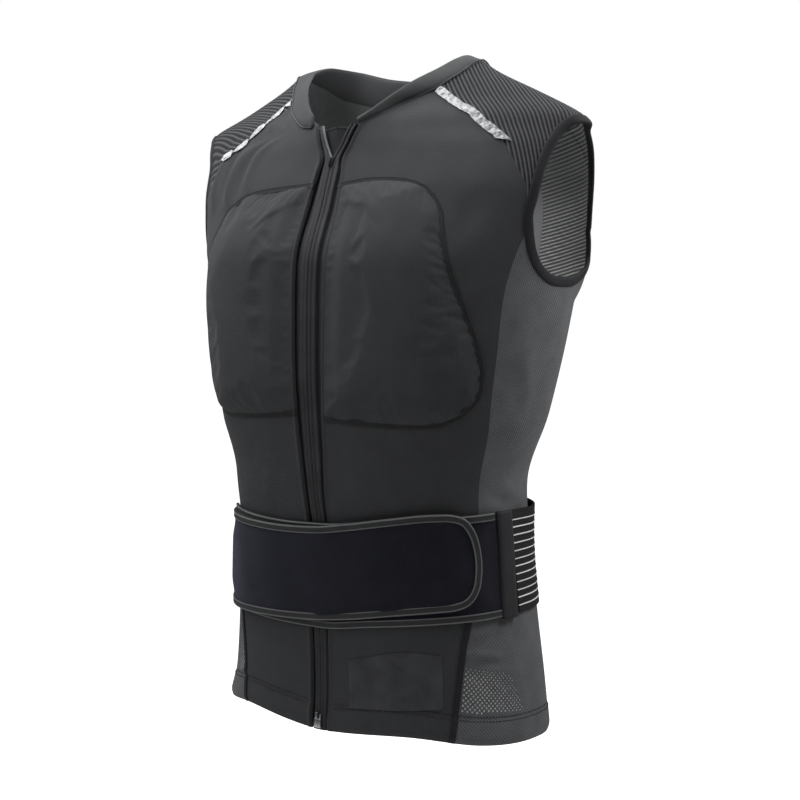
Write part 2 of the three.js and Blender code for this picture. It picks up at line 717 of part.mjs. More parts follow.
// Under wing of the belt, from the wearer's left, and its binding along both long edges and the end
const wingTop = beltEdge(WING, 'top', BELT_COLUMNS);
const wingBottom = beltEdge(WING, 'bottom', BELT_COLUMNS);
const wingEnd = straight(wingTop[0], wingBottom[0], BELT_END_ROWS);
const wingPath = joined(reversed(wingTop), wingEnd, wingBottom);
const wingLift = { inner: BELT_GAP, outer: BELT_GAP + BELT_THICKNESS };
const trim = (BELT_EDGE_THICKNESS - BELT_THICKNESS) / 2;

function edgeGrid(path) {
  const inside = besides(path, BELT_BINDING_WIDTH);
  return path.map((point, i) => [point, inside[i]]);
}

const wingBinding = onBody(edgeGrid(wingPath), wingLift.inner - trim, wingLift.outer + trim, 0);
addPiece('belt_wing_binding', wingBinding, BAND_GREY);

// Cloth inside a binding: the binding's path is split back into its upper run, end and lower run
function insideOf(path, topCount, endCount) {
  const inner = besides(path, BELT_BINDING_WIDTH + SEAM_GAP);
  return {
    top: inner.slice(0, topCount),
    end: inner.slice(topCount - 1, topCount + endCount),
    bottom: inner.slice(topCount + endCount - 1),
  };
}

const wingCloth = insideOf(wingPath, BELT_COLUMNS + 1, BELT_END_ROWS);
const wingGrid = patch(
  wingCloth.bottom,
  reversed(wingCloth.top),
  reversed(wingCloth.end),
  straight(wingCloth.bottom.at(-1), wingCloth.top[0], BELT_END_ROWS),
);
addPiece('belt_wing', onBody(wingGrid, wingLift.inner, wingLift.outer, 0), BELT_NAVY);

// Outer flap of the belt, from the wearer's right, with a rounded end, and its binding
const flapTop = beltEdge(FLAP, 'top', BELT_COLUMNS);
const flapBottom = beltEdge(FLAP, 'bottom', BELT_COLUMNS);
const flapEnd = seam(
  [
    { turn: flapTop.at(-1).x, z: flapTop.at(-1).y },
    ...FLAP_END,
    { turn: flapBottom.at(-1).x, z: flapBottom.at(-1).y },
  ],
  BELT_END_ROWS * 2,
);
const flapPath = reversed(joined(flapTop, flapEnd, reversed(flapBottom)));
const overWing = BELT_GAP + BELT_THICKNESS + BELT_GAP / 2 + LAYER_GAP / 2;
const flapFoot = (turn) => THREE.MathUtils.lerp(
  BELT_GAP,
  overWing,
  THREE.MathUtils.smoothstep(turn, FLAP_STEP.low, FLAP_STEP.high),
);
const flapBinding = onBody(
  edgeGrid(flapPath),
  (u, v, turn) => flapFoot(turn) - trim,
  (u, v, turn) => flapFoot(turn) + BELT_THICKNESS + trim,
  0,
);
addPiece('belt_flap_binding', flapBinding, BAND_GREY);

const flapCloth = insideOf(flapPath, BELT_COLUMNS + 1, BELT_END_ROWS * 2);
const flapGrid = patch(
  flapCloth.top,
  reversed(flapCloth.bottom),
  straight(flapCloth.top[0], flapCloth.bottom.at(-1), BELT_END_ROWS * 2),
  flapCloth.end,
);
const flap = onBody(
  flapGrid,
  (u, v, turn) => flapFoot(turn),
  (u, v, turn) => flapFoot(turn) + BELT_THICKNESS,
  0,
);
addPiece('belt_flap', flap, BELT_NAVY);

// Elastic round the back, and the folded webbing tab that joins it to each wing
const elasticGrid = band(
  beltEdge(ELASTIC, 'bottom', BELT_COLUMNS),
  beltEdge(ELASTIC, 'top', BELT_COLUMNS),
  BELT_ROWS,
);
addPiece('belt_elastic', onBody(elasticGrid, BELT_GAP, BELT_GAP + ELASTIC_THICKNESS, 0), BLACK);

for (const side of ['left', 'right']) {
  const drop = side === 'left' ? 0 : RIGHT_TAB_DROP;
  const edge = (column) => beltEdge(TAB, column, BELT_ROWS)
    .map((p) => new THREE.Vector2(side === 'left' ? p.x : -p.x, p.y + drop));
  const tabGrid = band(edge('bottom'), edge('top'), BELT_ROWS * 2);
  addPiece(`belt_tab_${side}`, onBody(tabGrid, BELT_GAP, BELT_GAP + TAB_THICKNESS, 0), BLACK);
}

export default vest;
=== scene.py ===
import math

import bmesh
import bpy
import numpy as np
from mathutils import Matrix, Vector


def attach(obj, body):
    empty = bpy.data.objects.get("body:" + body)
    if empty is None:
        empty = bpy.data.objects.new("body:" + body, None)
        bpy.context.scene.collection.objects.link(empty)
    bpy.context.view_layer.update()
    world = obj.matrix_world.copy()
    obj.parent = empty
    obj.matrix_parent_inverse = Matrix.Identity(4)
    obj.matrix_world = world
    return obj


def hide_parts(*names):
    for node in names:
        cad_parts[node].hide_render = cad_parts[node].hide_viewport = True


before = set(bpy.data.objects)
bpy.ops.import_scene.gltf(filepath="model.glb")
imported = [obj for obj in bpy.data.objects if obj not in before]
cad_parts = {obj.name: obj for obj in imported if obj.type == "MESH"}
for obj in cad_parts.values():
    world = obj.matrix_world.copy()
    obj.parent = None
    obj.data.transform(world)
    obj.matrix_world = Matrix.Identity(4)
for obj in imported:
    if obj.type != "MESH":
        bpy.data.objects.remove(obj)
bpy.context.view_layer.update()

# Studio: soft panels of light close over the shoulders and at both sides, so that the light falls off
# towards the hem, over a pale floor. The vest is held up as on a stand, before a white surround.
FLOOR_LEVEL = -0.96
FLOOR_SIZE = 40
# Strength as light on the vest, and as the camera sees it
FLOOR_GLOW = (0.09, 1.1)
SURROUND_GLOW = (0.01, 1.0)
CAMERA_TURN = math.radians(36)
CAMERA_RISE = math.radians(4.9)
CAMERA_DISTANCE = 1.540
CAMERA_LENS = 69.3
CAMERA_SENSOR = 36
AIM = Vector((0.0097, 0.0071, -0.326))
WHITE = (1, 1, 1, 1)
# Name, metres to the camera's right of the aim, towards the camera, upwards, size, watts
LIGHTS = [
    ("overhead_panel", -0.3, 0.05, 0.95, 0.7, 10.4),
    ("upper_left_panel", -0.75, 0.75, 0.85, 0.8, 5.2),
    ("left_rim_panel", -0.9, -0.6, 0.4, 0.8, 3.4),
    ("right_panel", 0.76, 0.12, 0.62, 0.6, 8.6),
]


def linear(code):
    """An sRGB hex colour in linear light, with full alpha."""
    parts = [int(code[i:i + 2], 16) / 255 for i in (1, 3, 5)]
    return [p / 12.92 if p <= 0.04045 else ((p + 0.055) / 1.055) ** 2.4 for p in parts] + [1.0]


def feed(material, node, inputs):
    """Sets a node's inputs, or links them where the value is another node's output."""
    for name, value in inputs.items():
        if isinstance(value, bpy.types.NodeSocket):
            material.node_tree.links.new(value, node.inputs[name])
        else:
            node.inputs[name].default_value = value


def add(material, kind, inputs=None, **settings):
    """Adds a node with its settings and links."""
    node = material.node_tree.nodes.new(kind)
    for name, value in settings.items():
        setattr(node, name, value)
    feed(material, node, inputs or {})
    return node


def begin(name):
    """New material, its shader and its place on the vest."""
    material = bpy.data.materials.new(name)
    material.use_nodes = True
    place = add(material, "ShaderNodeTexCoord")
    return material, material.node_tree.nodes["Principled BSDF"], place.outputs["Object"]


def piece_from(name, shape, *materials):
    """Object of a finished shape, with its materials."""
    mesh = bpy.data.meshes.new(name)
    shape.to_mesh(mesh)
    shape.free()
    for material in materials:
        mesh.materials.append(material)
    piece = bpy.data.objects.new(name, mesh)
    scene.collection.objects.link(piece)
    return piece


scene = bpy.context.scene
scene.view_settings.view_transform = "Standard"
back = Vector((
    math.sin(CAMERA_TURN) * math.cos(CAMERA_RISE),
    -math.cos(CAMERA_TURN) * math.cos(CAMERA_RISE),
    math.sin(CAMERA_RISE),
))
aside_of_camera = Vector((math.cos(CAMERA_TURN), math.sin(CAMERA_TURN), 0))
camera = bpy.data.objects.new("camera", bpy.data.cameras.new("camera"))
camera.data.lens = CAMERA_LENS
camera.data.sensor_width = CAMERA_SENSOR
camera.location = AIM + back * CAMERA_DISTANCE
camera.rotation_euler = back.to_track_quat("Z", "Y").to_euler()
scene.collection.objects.link(camera)
scene.camera = camera
for name, aside, toward, above, size, watts in LIGHTS:
    light = bpy.data.objects.new(name, bpy.data.lights.new(name, "AREA"))
    light.data.size = size
    light.data.energy = watts
    light.location = AIM + aside_of_camera * aside + Vector((back.x * toward, back.y * toward, above))
    light.rotation_euler = (light.location - AIM).to_track_quat("Z", "Y").to_euler()
    light.visible_camera = False
    scene.collection.objects.link(light)

scene.world = bpy.data.worlds.new("white surround")
scene.world.use_nodes = True
surround = scene.world.node_tree.nodes["Background"]
surround.inputs["Color"].default_value = WHITE
floor_paint, floor_shader, _ = begin("white studio floor")
feed(floor_paint, floor_shader, {"Base Color": linear("#fbfbfb"), "Roughness": 0.9, "Emission Color": WHITE})
for owner, node, socket, (lit, seen) in (
    (scene.world, surround, "Strength", SURROUND_GLOW),
    (floor_paint, floor_shader, "Emission Strength", FLOOR_GLOW),
):
    path = add(owner, "ShaderNodeLightPath")
    ray = {"Value": path.outputs["Is Camera Ray"], "To Min": lit, "To Max": seen}
    feed(owner, node, {socket: add(owner, "ShaderNodeMapRange", ray).outputs["Result"]})
shape = bmesh.new()
bmesh.ops.create_grid(shape, x_segments=1, y_segments=1, size=FLOOR_SIZE / 2)
bmesh.ops.translate(shape, verts=shape.verts, vec=(0, 0, FLOOR_LEVEL))
piece_from("floor", shape, floor_paint)

# Front panels: charcoal stretch knit, one for each side from the hem to the neck, rolled over at
# the zip and turned up at the hem. They are sewn to the zip, the side panels, the yokes and the neck.
MM = 0.001
MM_PER_TURN = 2.6
SIDES = {"left": 1, "right": -1}
# Level sections of the body: z, half width, depth before and behind the centre, how far the section
# is drawn to a point at the middle of the front, of the back and at the sides, and the centre's y
BODY = np.array([
    (-680, 178, 119, 111, 0.86, 0.9, 0.86, 0),
    (-600, 170, 109, 103, 0.86, 0.9, 0.86, 0),
    (-520, 162, 108, 97, 0.86, 0.9, 0.86, -3),
    (-450, 158, 100, 90, 0.86, 0.9, 0.86, -9),
    (-400, 157, 104, 95, 0.86, 0.9, 0.86, -14),
    (-330, 180, 113, 101, 0.86, 0.9, 0.86, -12),
    (-260, 194, 121, 107, 0.85, 0.88, 0.86, -6),
    (-190, 203, 124, 118, 0.85, 0.86, 0.86, 0),
    (-130, 219, 108, 112, 0.9, 0.9, 0.86, 6),
    (-80, 227, 91, 93, 1.3, 1, 1, 5),
    (-58.5, 228, 88, 88, 2.2, 1.1, 1.15, 2),
    (-36.5, 181, 66, 78, 2.3, 1.2, 1.25, 0),
    (-2.5, 112, 50, 66, 2.3, 1.2, 1.25, 0),
    (10.5, 100, 46, 58, 2.3, 1.2, 1.25, 0),
])
EASE = 8
EASE_STEP = 0.5
EASE_REACH = 40
# Soft folds of the worn cloth: from and to as turn and level, half width and height
FOLDS = [
    (-53, -80, -48, -140, 5, 3.2),
    (-42.5, -70, -35.5, -140, 5.5, 4.0),
    (-36, -66, -26, -130, 4.5, 3.2),
    (-47, -74, -41, -135, 4, -2.4),
    (-38.5, -68, -31, -132, 3.5, -2.4),
    (-50, -43, -42, -60, 2, 1.3),
    (-47, -41, -38, -58, 2, -1.2),
    (-45.5, -37, -36, -56, 2, 1.2),
    (46, -120, 36, -190, 12, -1.2),
    (56, -180, 47, -240, 10, 1.2),
    (12, -360, 20, -425, 10, 1.0),
    (-14, -360, -22, -425, 9, 1.2),
    (26, -350, 40, -425, 12, -1.2),
    (54, -549, 76, -556, 4, 1.8),
    (54, -558, 74, -562, 4, -1.2),
    (52, -534, 80, -528, 5, 1.3),
    (60, -566, 100, -575, 7, 1.3),
    (-44, -598, -30, -602, 4, 1.4),
    (-95, -640, -38, -640, 22, 4.0),
    (-58, -180, -56, -350, 26, -4.0),
    (-102, -62, -58, -74, 14, 4.5),
    (100, -45, 119, -155, 24, -6.5),
    (78, -52, 122, -66, 16, -5),
    (117, -160, 113, -226, 17, 6.5),
    (72, -250, 84, -330, 10, 1.4),
    (78, -390, 100, -415, 7, 1.6),
    (70, -400, 90, -418, 6, -1.2),
]
HEM = np.array([(0, -635), (30, -629.5), (60, -636), (90, -640), (130, -644), (180, -646)])
HEM_TURN_UP = 26
HEM_RISE = 0.6
HEM_GROOVE = 1.1
HEM_CURL = 8
HEM_CURL_DEPTH = 2.5
# Level, slit between the tapes and outer edge of the zip, from the middle
ZIP = np.array([
    (-635, 0.3, 9.5),
    (-540, 0.3, 10),
    (-405, 0.3, 11.5),
    (-365, 0.3, 13.5),
    (-285, 0.3, 16),
    (-164, 0.3, 17),
    (-110, 0.3, 14),
    (-94, 0.3, 12),
    (-78, 8, 18),
    (-60, 16, 25),
])
ZIP_MIDDLE = -150
# Seams as turn and level
SIDE_SEAM = {
    "left": [(50, -591), (54, -550), (57.7, -522), (63, -470), (67, -420)],
    "right": [(39, -591), (44, -550), (49, -522), (59, -470), (66, -420)],
}
SIDE_SEAM_UPPER = [(67.5, -378), (63.5, -321), (62, -271), (61.5, -223), (64, -177)]
SIDE_SEAM_HEM = {"left": 47, "right": 36}
ARM_UNDER_FRONT = (64.9, -163.5)
ARM_FRONT_BEND = (62, -149)
ARM_YOKE_FRONT = (61.2, -138.7)
YOKE_FRONT = [
    (59.3, -122), (55, -104), (53, -90), (51.6, -78), (51.8, -69.5), (51.9, -61), (50.4, -51), (49.6, -40),
]
NECK_START = (21, -58)
NECK_FRONT = [(28.8, -50.4), (36.2, -39.8)]
NECK_FRONT_END = (44.9, -31.1)
NECK_YOKE_FRONT = (47.1, -29.1)
FRONT_THICKNESS = 1.8
FRONT_COLUMNS = 60
FRONT_ROWS = 210
FRONT_CROWDING = 1.6
ROLL_HEIGHT = 1.5
ROLL_WIDTH = 1.9
ROLL_PLACE = 2
ROLL_TUCK = 2.4
ROLL_TUCK_WIDTH = 0.9
FINE = 12


def through(rows, at):
    """Smooth curve through the rows, keyed by their first column, that never overshoots them."""
    key, values = rows[:, 0].astype(float), rows[:, 1:].astype(float)
    step = np.diff(key)[:, None]
    rise = np.diff(values, axis=0) / step
    before, after = rise[:-1], rise[1:]
    near, far = 2 * step[1:] + step[:-1], step[1:] + 2 * step[:-1]
    same = before * after > 0
    low, high = np.where(same, before, 1), np.where(same, after, 1)
    inner = np.where(same, (near + far) / (near / low + far / high), 0)
    slope = np.vstack([rise[:1], inner, rise[-1:]])
    at = np.asarray(at, float)
    i = np.clip(np.searchsorted(key, at) - 1, 0, len(key) - 2)
    t = ((at - key[i]) / step[i, 0])[..., None]
    start = values[i] * (1 + 2 * t) * (1 - t) ** 2 + slope[i] * step[i] * t * (1 - t) ** 2
    end = values[i + 1] * t * t * (3 - 2 * t) + slope[i + 1] * step[i] * t * t * (t - 1)
    return start + end


def bell(offset, width):
    return np.exp(-(offset / width) ** 2)


# The sections are eased up and down the body, so that no row of the table shows as a crease
LEVELS = np.arange(BODY[0, 0], BODY[-1, 0] + EASE_STEP, EASE_STEP)
easing = bell(np.arange(-EASE_REACH, EASE_REACH + 1) * EASE_STEP, EASE)
SECTIONS = [
    np.convolve(np.pad(sizes, EASE_REACH, "edge"), easing / easing.sum(), "valid")
    for sizes in through(BODY, LEVELS).T
]


def body(turn, z):
    """Points of the body, in millimetres, at turns from the centre front and levels."""
    half, front, rear, front_spread, rear_spread, crown, centre = (
        np.interp(z, LEVELS, sizes) for sizes in SECTIONS
    )
    side, fore = np.sin(np.radians(turn)), np.cos(np.radians(turn))
    x = half * np.sign(side) * np.abs(side) ** np.where(fore > 0, front_spread, rear_spread)
    y = centre - np.where(fore > 0, front, rear) * np.sign(fore) * np.abs(fore) ** crown
    return np.stack([x, y, z], axis=-1)


def turn_at(x, z):
    """Turn of the front point at a distance from the middle."""
    half, spread = np.interp(z, LEVELS, SECTIONS[0]), np.interp(z, LEVELS, SECTIONS[3])
    return np.degrees(np.arcsin((x / half) ** (1 / spread)))


def unit(vectors):
    return vectors / np.linalg.norm(vectors, axis=-1, keepdims=True)


def outward(turn, z):
    around = body(turn + 1, z) - body(turn - 1, z)
    upward = body(turn, z + 1) - body(turn, z - 1)
    return unit(np.cross(around, upward))


def drape(turn, z):
    """Height of the soft folds over the body."""
    rise = np.zeros_like(z)
    for turn0, z0, turn1, z1, width, height in FOLDS:
        run = np.array([(turn1 - turn0) * MM_PER_TURN, z1 - z0])
        length = np.linalg.norm(run)
        across, up = (turn - turn0) * MM_PER_TURN, z - z0
        share = (across * run[0] + up * run[1]) / length ** 2
        aside = (across * run[1] - up * run[0]) / length
        rise += height * np.clip(1 - (2 * share - 1) ** 2, 0, 1) * bell(aside, width)
    return rise


def spots_at(turn, z):
    """Spots on the body, as turn and level."""
    return np.stack(np.broadcast_arrays(turn, z), axis=-1)


def skin(spots, lift=0.0):
    """Places over the body for spots given as turn and level."""
    turn, z = (spots[..., 0] + 180) % 360 - 180, spots[..., 1]
    return body(turn, z) + outward(turn, z) * (drape(turn, z) + lift)[..., None]


def read(at, key, columns):
    """Every column of a table, read at places along its key."""
    return np.stack([np.interp(at, key, column) for column in columns.T], axis=-1)


def run_of(line):
    """Length along a line from its start."""
    return np.concatenate([[0], np.cumsum(np.linalg.norm(np.diff(line, axis=0), axis=1))])


def seam(points, count):
    """Even steps along a smooth line through the points."""
    points = np.array(points, float)
    last = len(points) - 1
    t = np.linspace(0, last, 300 * last + 1)
    i = np.minimum(t.astype(int), last - 1)
    w = (t - i)[:, None]
    p0, p1, p2, p3 = (points[np.clip(i + k, 0, last)] for k in (-1, 0, 1, 2))
    v0, v1 = (p2 - p0) / 2, (p3 - p1) / 2
    bend = (2 * p1 - 2 * p2 + v0 + v1) * w ** 3 + (3 * p2 - 3 * p1 - 2 * v0 - v1) * w ** 2
    line = bend + v0 * w + p1
    run = run_of(line)
    return read(np.linspace(0, run[-1], count + 1), run, line)


def joined(*runs):
    return np.concatenate([runs[0]] + [run[1:] for run in runs[1:]])


def hem_level(turn):
    return through(HEM, np.abs(turn))[..., 0]


def hem(start, end, count=200):
    turn = np.linspace(start, end, count + 1)
    return spots_at(turn, hem_level(turn))


def hem_spot(turn):
    return turn, float(hem_level(turn))


def sample(line, share):
    return read(np.asarray(share) * (len(line) - 1), np.arange(len(line)), line)


def patch(bottom, top, left, right, across, up):
    """Spots of a four-sided panel, at the shares across and up it."""
    low, high = sample(bottom, across)[None], sample(top, across)[None]
    near, far = sample(left, up)[:, None], sample(right, up)[:, None]
    u, v = across[None, :, None], up[:, None, None]
    corners = (bottom[0] * (1 - u) + bottom[-1] * u) * (1 - v) + (top[0] * (1 - u) + top[-1] * u) * v
    return near * (1 - u) + far * u + low * (1 - v) + high * v - corners


def even(count):
    return np.linspace(0, 1, count + 1)


def smoothstep(value, low, high):
    t = np.clip((value - low) / (high - low), 0, 1)
    return t * t * (3 - 2 * t)


def mirrored(spots):
    """The same panel on the wearer's right, its columns still running to the wearer's left."""
    return spots[:, ::-1] * (-1, 1)


def lengths(places):
    """Lengths along the rows and up the columns of a grid of places."""
    across = np.linalg.norm(np.diff(places, axis=1), axis=2)
    up = np.linalg.norm(np.diff(places, axis=0), axis=2)
    u = np.pad(np.cumsum(across, axis=1), ((0, 0), (1, 0)))
    v = np.pad(np.cumsum(up, axis=0), ((1, 0), (0, 0)))
    return u, v


def grid_piece(name, places, *materials, tube=False, loop=False):
    """Piece on a grid of places in millimetres. A tube closes across its rows, a loop along them."""
    rows, columns = places.shape[:2]
    shape = bmesh.new()
    bmesh.ops.create_grid(shape, x_segments=columns - 1, y_segments=rows - 1, size=1)
    for vert, place in zip(shape.verts, places.reshape(-1, 3) * MM):
        vert.co = place
    flat = (np.stack(lengths(places), axis=-1) * MM).reshape(-1, 2)
    layer = shape.loops.layers.uv.new("cloth")
    shape.verts.index_update()
    for face in shape.faces:
        face.smooth = True
        for corner in face.loops:
            corner[layer].uv = flat[corner.vert.index]
    if tube or loop:
        bmesh.ops.remove_doubles(shape, verts=shape.verts, dist=1e-6)
        ends = [edge for edge in shape.edges if edge.is_boundary]
        if tube and ends:
            bmesh.ops.holes_fill(shape, edges=ends, sides=0)
        if tube:
            bmesh.ops.recalc_face_normals(shape, faces=shape.faces)
    for edge in shape.edges:
        edge.smooth = not edge.is_boundary
    return piece_from(name, shape, *materials)


def thicken(piece, thickness, inside=0):
    """Wall thickness, with the inner face that many materials further on."""
    wall = piece.modifiers.new("thickness", "SOLIDIFY")
    wall.thickness = thickness * MM
    wall.offset = -1
    wall.material_offset = inside


def wear(piece, slot, *nodes):
    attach(piece, "root")
    if nodes:
        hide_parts(*nodes)


def trim(name, places, materials, thickness, slot, *nodes, inside=0):
    """Cloth on a grid of places, with its thickness, worn on the vest."""
    piece = grid_piece(name, places, *materials)
    thicken(piece, thickness, inside)
    wear(piece, slot, *nodes)
    return piece


def panel(name, places, materials, thickness, slot, node, inside=0):
    """Cloth panel on a grid of places, with its thickness, worn on the vest."""
    piece = trim(name, places, materials, thickness, slot, node, inside=inside)
    return piece


# A wave texture repeats every tenth of pi at scale 1
WAVE = math.pi / 10


def fabric(
    name, light, dark, across, along, depth, roughness, sheen,
    contrast=0.6, fuzz=0.0, slant=0, clouds=0.5, bloom=None,
):
    """Knitted or woven cloth: raised threads at the given spacings across and along, in millimetres."""
    material, shader, place = begin(name)
    flat = add(material, "ShaderNodeUVMap", uv_map="cloth")
    turned = {"Vector": flat.outputs["UV"], "Rotation": (0, 0, math.radians(slant))}
    laid = add(material, "ShaderNodeMapping", turned).outputs["Vector"]
    warp, weft = (
        add(material, "ShaderNodeTexWave", {"Vector": laid, "Scale": scale}, bands_direction=axis)
        for scale, axis in ((WAVE / (across * MM), "X"), (WAVE / (along * MM), "Y"))
    )
    crossing = {0: warp.outputs["Fac"], 1: weft.outputs["Fac"]}
    threads = add(material, "ShaderNodeMath", crossing, operation="MULTIPLY")
    cloud = add(material, "ShaderNodeTexNoise", {"Vector": place, "Scale": 45.0, "Detail": 4.0})
    fibre = add(material, "ShaderNodeTexNoise", {"Vector": place, "Scale": 900.0, "Detail": 2.0})
    hairy = {0: fibre.outputs["Fac"], 1: fuzz, 2: threads.outputs["Value"]}
    height = add(material, "ShaderNodeMath", hairy, operation="MULTIPLY_ADD").outputs["Value"]
    # The raised threads are painted lighter and the gaps between them darker, as painted highlight and shade
    # of the thread relief; the clouds below vary the tone at random.
    toned = {0: height, 1: contrast, 2: (1 - contrast) / 2}
    thread_shade = add(material, "ShaderNodeMath", toned, operation="MULTIPLY_ADD").outputs["Value"]
    patchy = {0: cloud.outputs["Fac"], 1: clouds, 2: thread_shade}
    mottle_and_thread_shade = add(material, "ShaderNodeMath", patchy, operation="MULTIPLY_ADD").outputs["Value"]
    share = add(material, "ShaderNodeMath", {0: mottle_and_thread_shade, 1: clouds / 2}, operation="SUBTRACT", use_clamp=True)
    tones = {0: share.outputs["Value"], 6: linear(dark), 7: linear(light)}
    colour = add(material, "ShaderNodeMix", tones, data_type="RGBA")
    bump = add(material, "ShaderNodeBump", {"Height": height, "Distance": depth * MM, "Strength": 1.0})
    feed(material, shader, {
        "Base Color": colour.outputs[2], "Normal": bump.outputs["Normal"], "Roughness": roughness,
        "Specular IOR Level": 0.25, "Sheen Weight": sheen, "Sheen Roughness": 0.45,
        "Sheen Tint": linear(bloom or light),
    })
    return material


# Fine vertical ribs of a warp knit, drawn at 2.6 mm so that they show, with a soft matt face
front_knit = fabric("charcoal stretch knit", "#454648", "#303133", 2.6, 1.9, 0.12, 0.82, 0.25, 0.45, 0.25)


def zip_line(low, high, count):
    z = np.linspace(low, high, count + 1)
    return spots_at(turn_at(through(ZIP, z)[:, 1], z), z)


def hem_relief(spots):
    """The turned-up edge stands proud below its groove of stitching, and curls in at the bottom."""
    above = spots[..., 1] - hem_level(spots[..., 0])
    rise = HEM_RISE * (1 - smoothstep(above, HEM_TURN_UP - 1.5, HEM_TURN_UP + 1.5))
    groove = HEM_GROOVE * bell(above - HEM_TURN_UP + 1, 2.2)
    return rise - groove - HEM_CURL_DEPTH * np.clip(1 - above / HEM_CURL, 0, 1) ** 2


zip_edge = joined(zip_line(ZIP[0, 0], ZIP_MIDDLE, 12 * FINE), zip_line(ZIP_MIDDLE, ZIP[-1, 0], 5 * FINE))
arm_front = seam([ARM_UNDER_FRONT, ARM_FRONT_BEND, ARM_YOKE_FRONT], 2 * FINE)
yoke_front = seam([ARM_YOKE_FRONT, *YOKE_FRONT, NECK_YOKE_FRONT], 6 * FINE)
neck_front = seam([NECK_START, *NECK_FRONT, NECK_FRONT_END], 3 * FINE)
side_seam = {
    side: seam([hem_spot(turn), *SIDE_SEAM[side], *SIDE_SEAM_UPPER, ARM_UNDER_FRONT], 12 * FINE)
    for side, turn in SIDE_SEAM_HEM.items()
}
for side in SIDES:
    spots = patch(
        hem(zip_edge[0, 0], SIDE_SEAM_HEM[side]),
        seam([NECK_FRONT_END, NECK_YOKE_FRONT], 50),
        joined(zip_edge, neck_front),
        joined(side_seam[side], arm_front, yoke_front),
        even(FRONT_COLUMNS) ** FRONT_CROWDING,
        even(FRONT_ROWS),
    )
    from_zip = lengths(skin(spots))[0]
    roll = ROLL_HEIGHT * bell(from_zip - ROLL_PLACE, ROLL_WIDTH) - ROLL_TUCK * bell(from_zip, ROLL_TUCK_WIDTH)
    lift = roll + hem_relief(spots)
    if side == "right":
        spots, lift = mirrored(spots), lift[:, ::-1]
    panel(
        f"front_{side}", skin(spots, lift), [front_knit], FRONT_THICKNESS,
        "front_knit", f"front_panel_{side}",
    )

# Zip: two woven tapes, each with a coil sewn along its inner edge and a second fold beside it. They
# lie sunk between the rolled edges of the fronts, and part above the slider.
TAPE_LIFT = -1.4
TAPE_GUTTER = -5.0
# The left gutter is shallower between the hem and the waist
GUTTER_RISE = (-560, -400)
TAPE_UNDER = 4.5
TAPE_SEWN = -1.5
TAPE_THICKNESS = 1.0
TAPE_COLUMNS = 28
TAPE_ROWS = 620
TAPE_CROWDING = 1.15
TAPE_FULL_WIDTH = 13
COIL_WIDTH = 4.4
COIL_HEIGHT = 1.7
COIL_PITCH = 2.2
COIL_NOTCH = 0.22
WELT_WIDTH = 9.2
WELT_HEIGHT = 1.2
# Where the tapes stand further apart than this, the bare coil shows along the right one's inner edge
PARTED = 0.4
COIL_COLUMNS = 4
# Dense black weave with a slight shine on the raised coil
tape_weave = fabric("black woven tape", "#47484a", "#232326", 1.6, 1.6, 0.1, 0.6, 0.1, 0.5, 0.15)
# Paler nylon, seen as a thin light edge where the tapes part
coil_nylon = fabric("grey nylon coil", "#8f9092", "#66676a", 1.2, 1.2, 0.1, 0.5, 0.1)


def ripple(turns):
    return 0.5 + 0.5 * np.cos(2 * math.pi * turns)


def round_top(offset, half):
    return np.sqrt(np.clip(1 - (offset / half) ** 2, 0, 1))


for side in SIDES:
    z = np.linspace(ZIP[0, 0], ZIP[-1, 0], TAPE_ROWS + 1)[:, None]
    slit, edge = np.moveaxis(through(ZIP, z), -1, 0)
    slit = np.maximum(slit - ZIP[0, 1], 0)
    inward = (edge + TAPE_UNDER - slit) * even(TAPE_COLUMNS) ** TAPE_CROWDING
    x = slit + inward
    spots = spots_at(turn_at(x, z), z)
    scaled = inward / np.minimum(1, (edge - slit) / TAPE_FULL_WIDTH)
    coil = round_top(scaled - COIL_WIDTH / 2, COIL_WIDTH / 2) * (1 - COIL_NOTCH * ripple(z / COIL_PITCH))
    fold = round_top(scaled - (COIL_WIDTH + WELT_WIDTH) / 2 - 0.3, (WELT_WIDTH - COIL_WIDTH) / 2)
    lift = TAPE_LIFT + COIL_HEIGHT * coil + WELT_HEIGHT * fold
    gutter = np.interp(z, GUTTER_RISE, (TAPE_GUTTER / 2, TAPE_GUTTER)) if side == "left" else TAPE_GUTTER
    lift = lift + (gutter - TAPE_LIFT) * smoothstep(scaled, WELT_WIDTH, WELT_WIDTH + 1.6)
    # Under the front, the tape rises again to the cloth that it is sewn to
    lift = lift + (TAPE_SEWN - lift) * smoothstep(x - edge, 1.2, TAPE_UNDER)
    if side == "right":
        spots, lift = mirrored(spots), lift[:, ::-1]
    tape = panel(
        f"zip_tape_and_coil_{side}", skin(spots, lift), [tape_weave, coil_nylon], TAPE_THICKNESS,
        "zip_tape", f"zip_tape_{side}",
    )
    for face in tape.data.polygons:
        row, column = divmod(min(face.vertices), TAPE_COLUMNS + 1)
        bare = slit[row, 0] > PARTED and column >= TAPE_COLUMNS - COIL_COLUMNS
        face.material_index = int(side == "right" and bare)

# Panel behind the open top of the zip: the same charcoal knit, bound along its upper edge with a
# line of stitching. It hangs from the right tape and closes the gap.
UNDERLAP_HALF = 21
UNDERLAP_TOP = -60.5
UNDERLAP_BOTTOM = -124
UNDERLAP_LIFT = -6.2
UNDERLAP_BOW = 0.8
UNDERLAP_RIDGE = 0.9
UNDERLAP_THICKNESS = 1.2
UNDERLAP_COLUMNS = 36
UNDERLAP_ROWS = 60
STITCH_INSET = 2.0
# Pitch, length and radius of a stitch
BACKING_STITCH = (2.6, 2.0, 0.3)
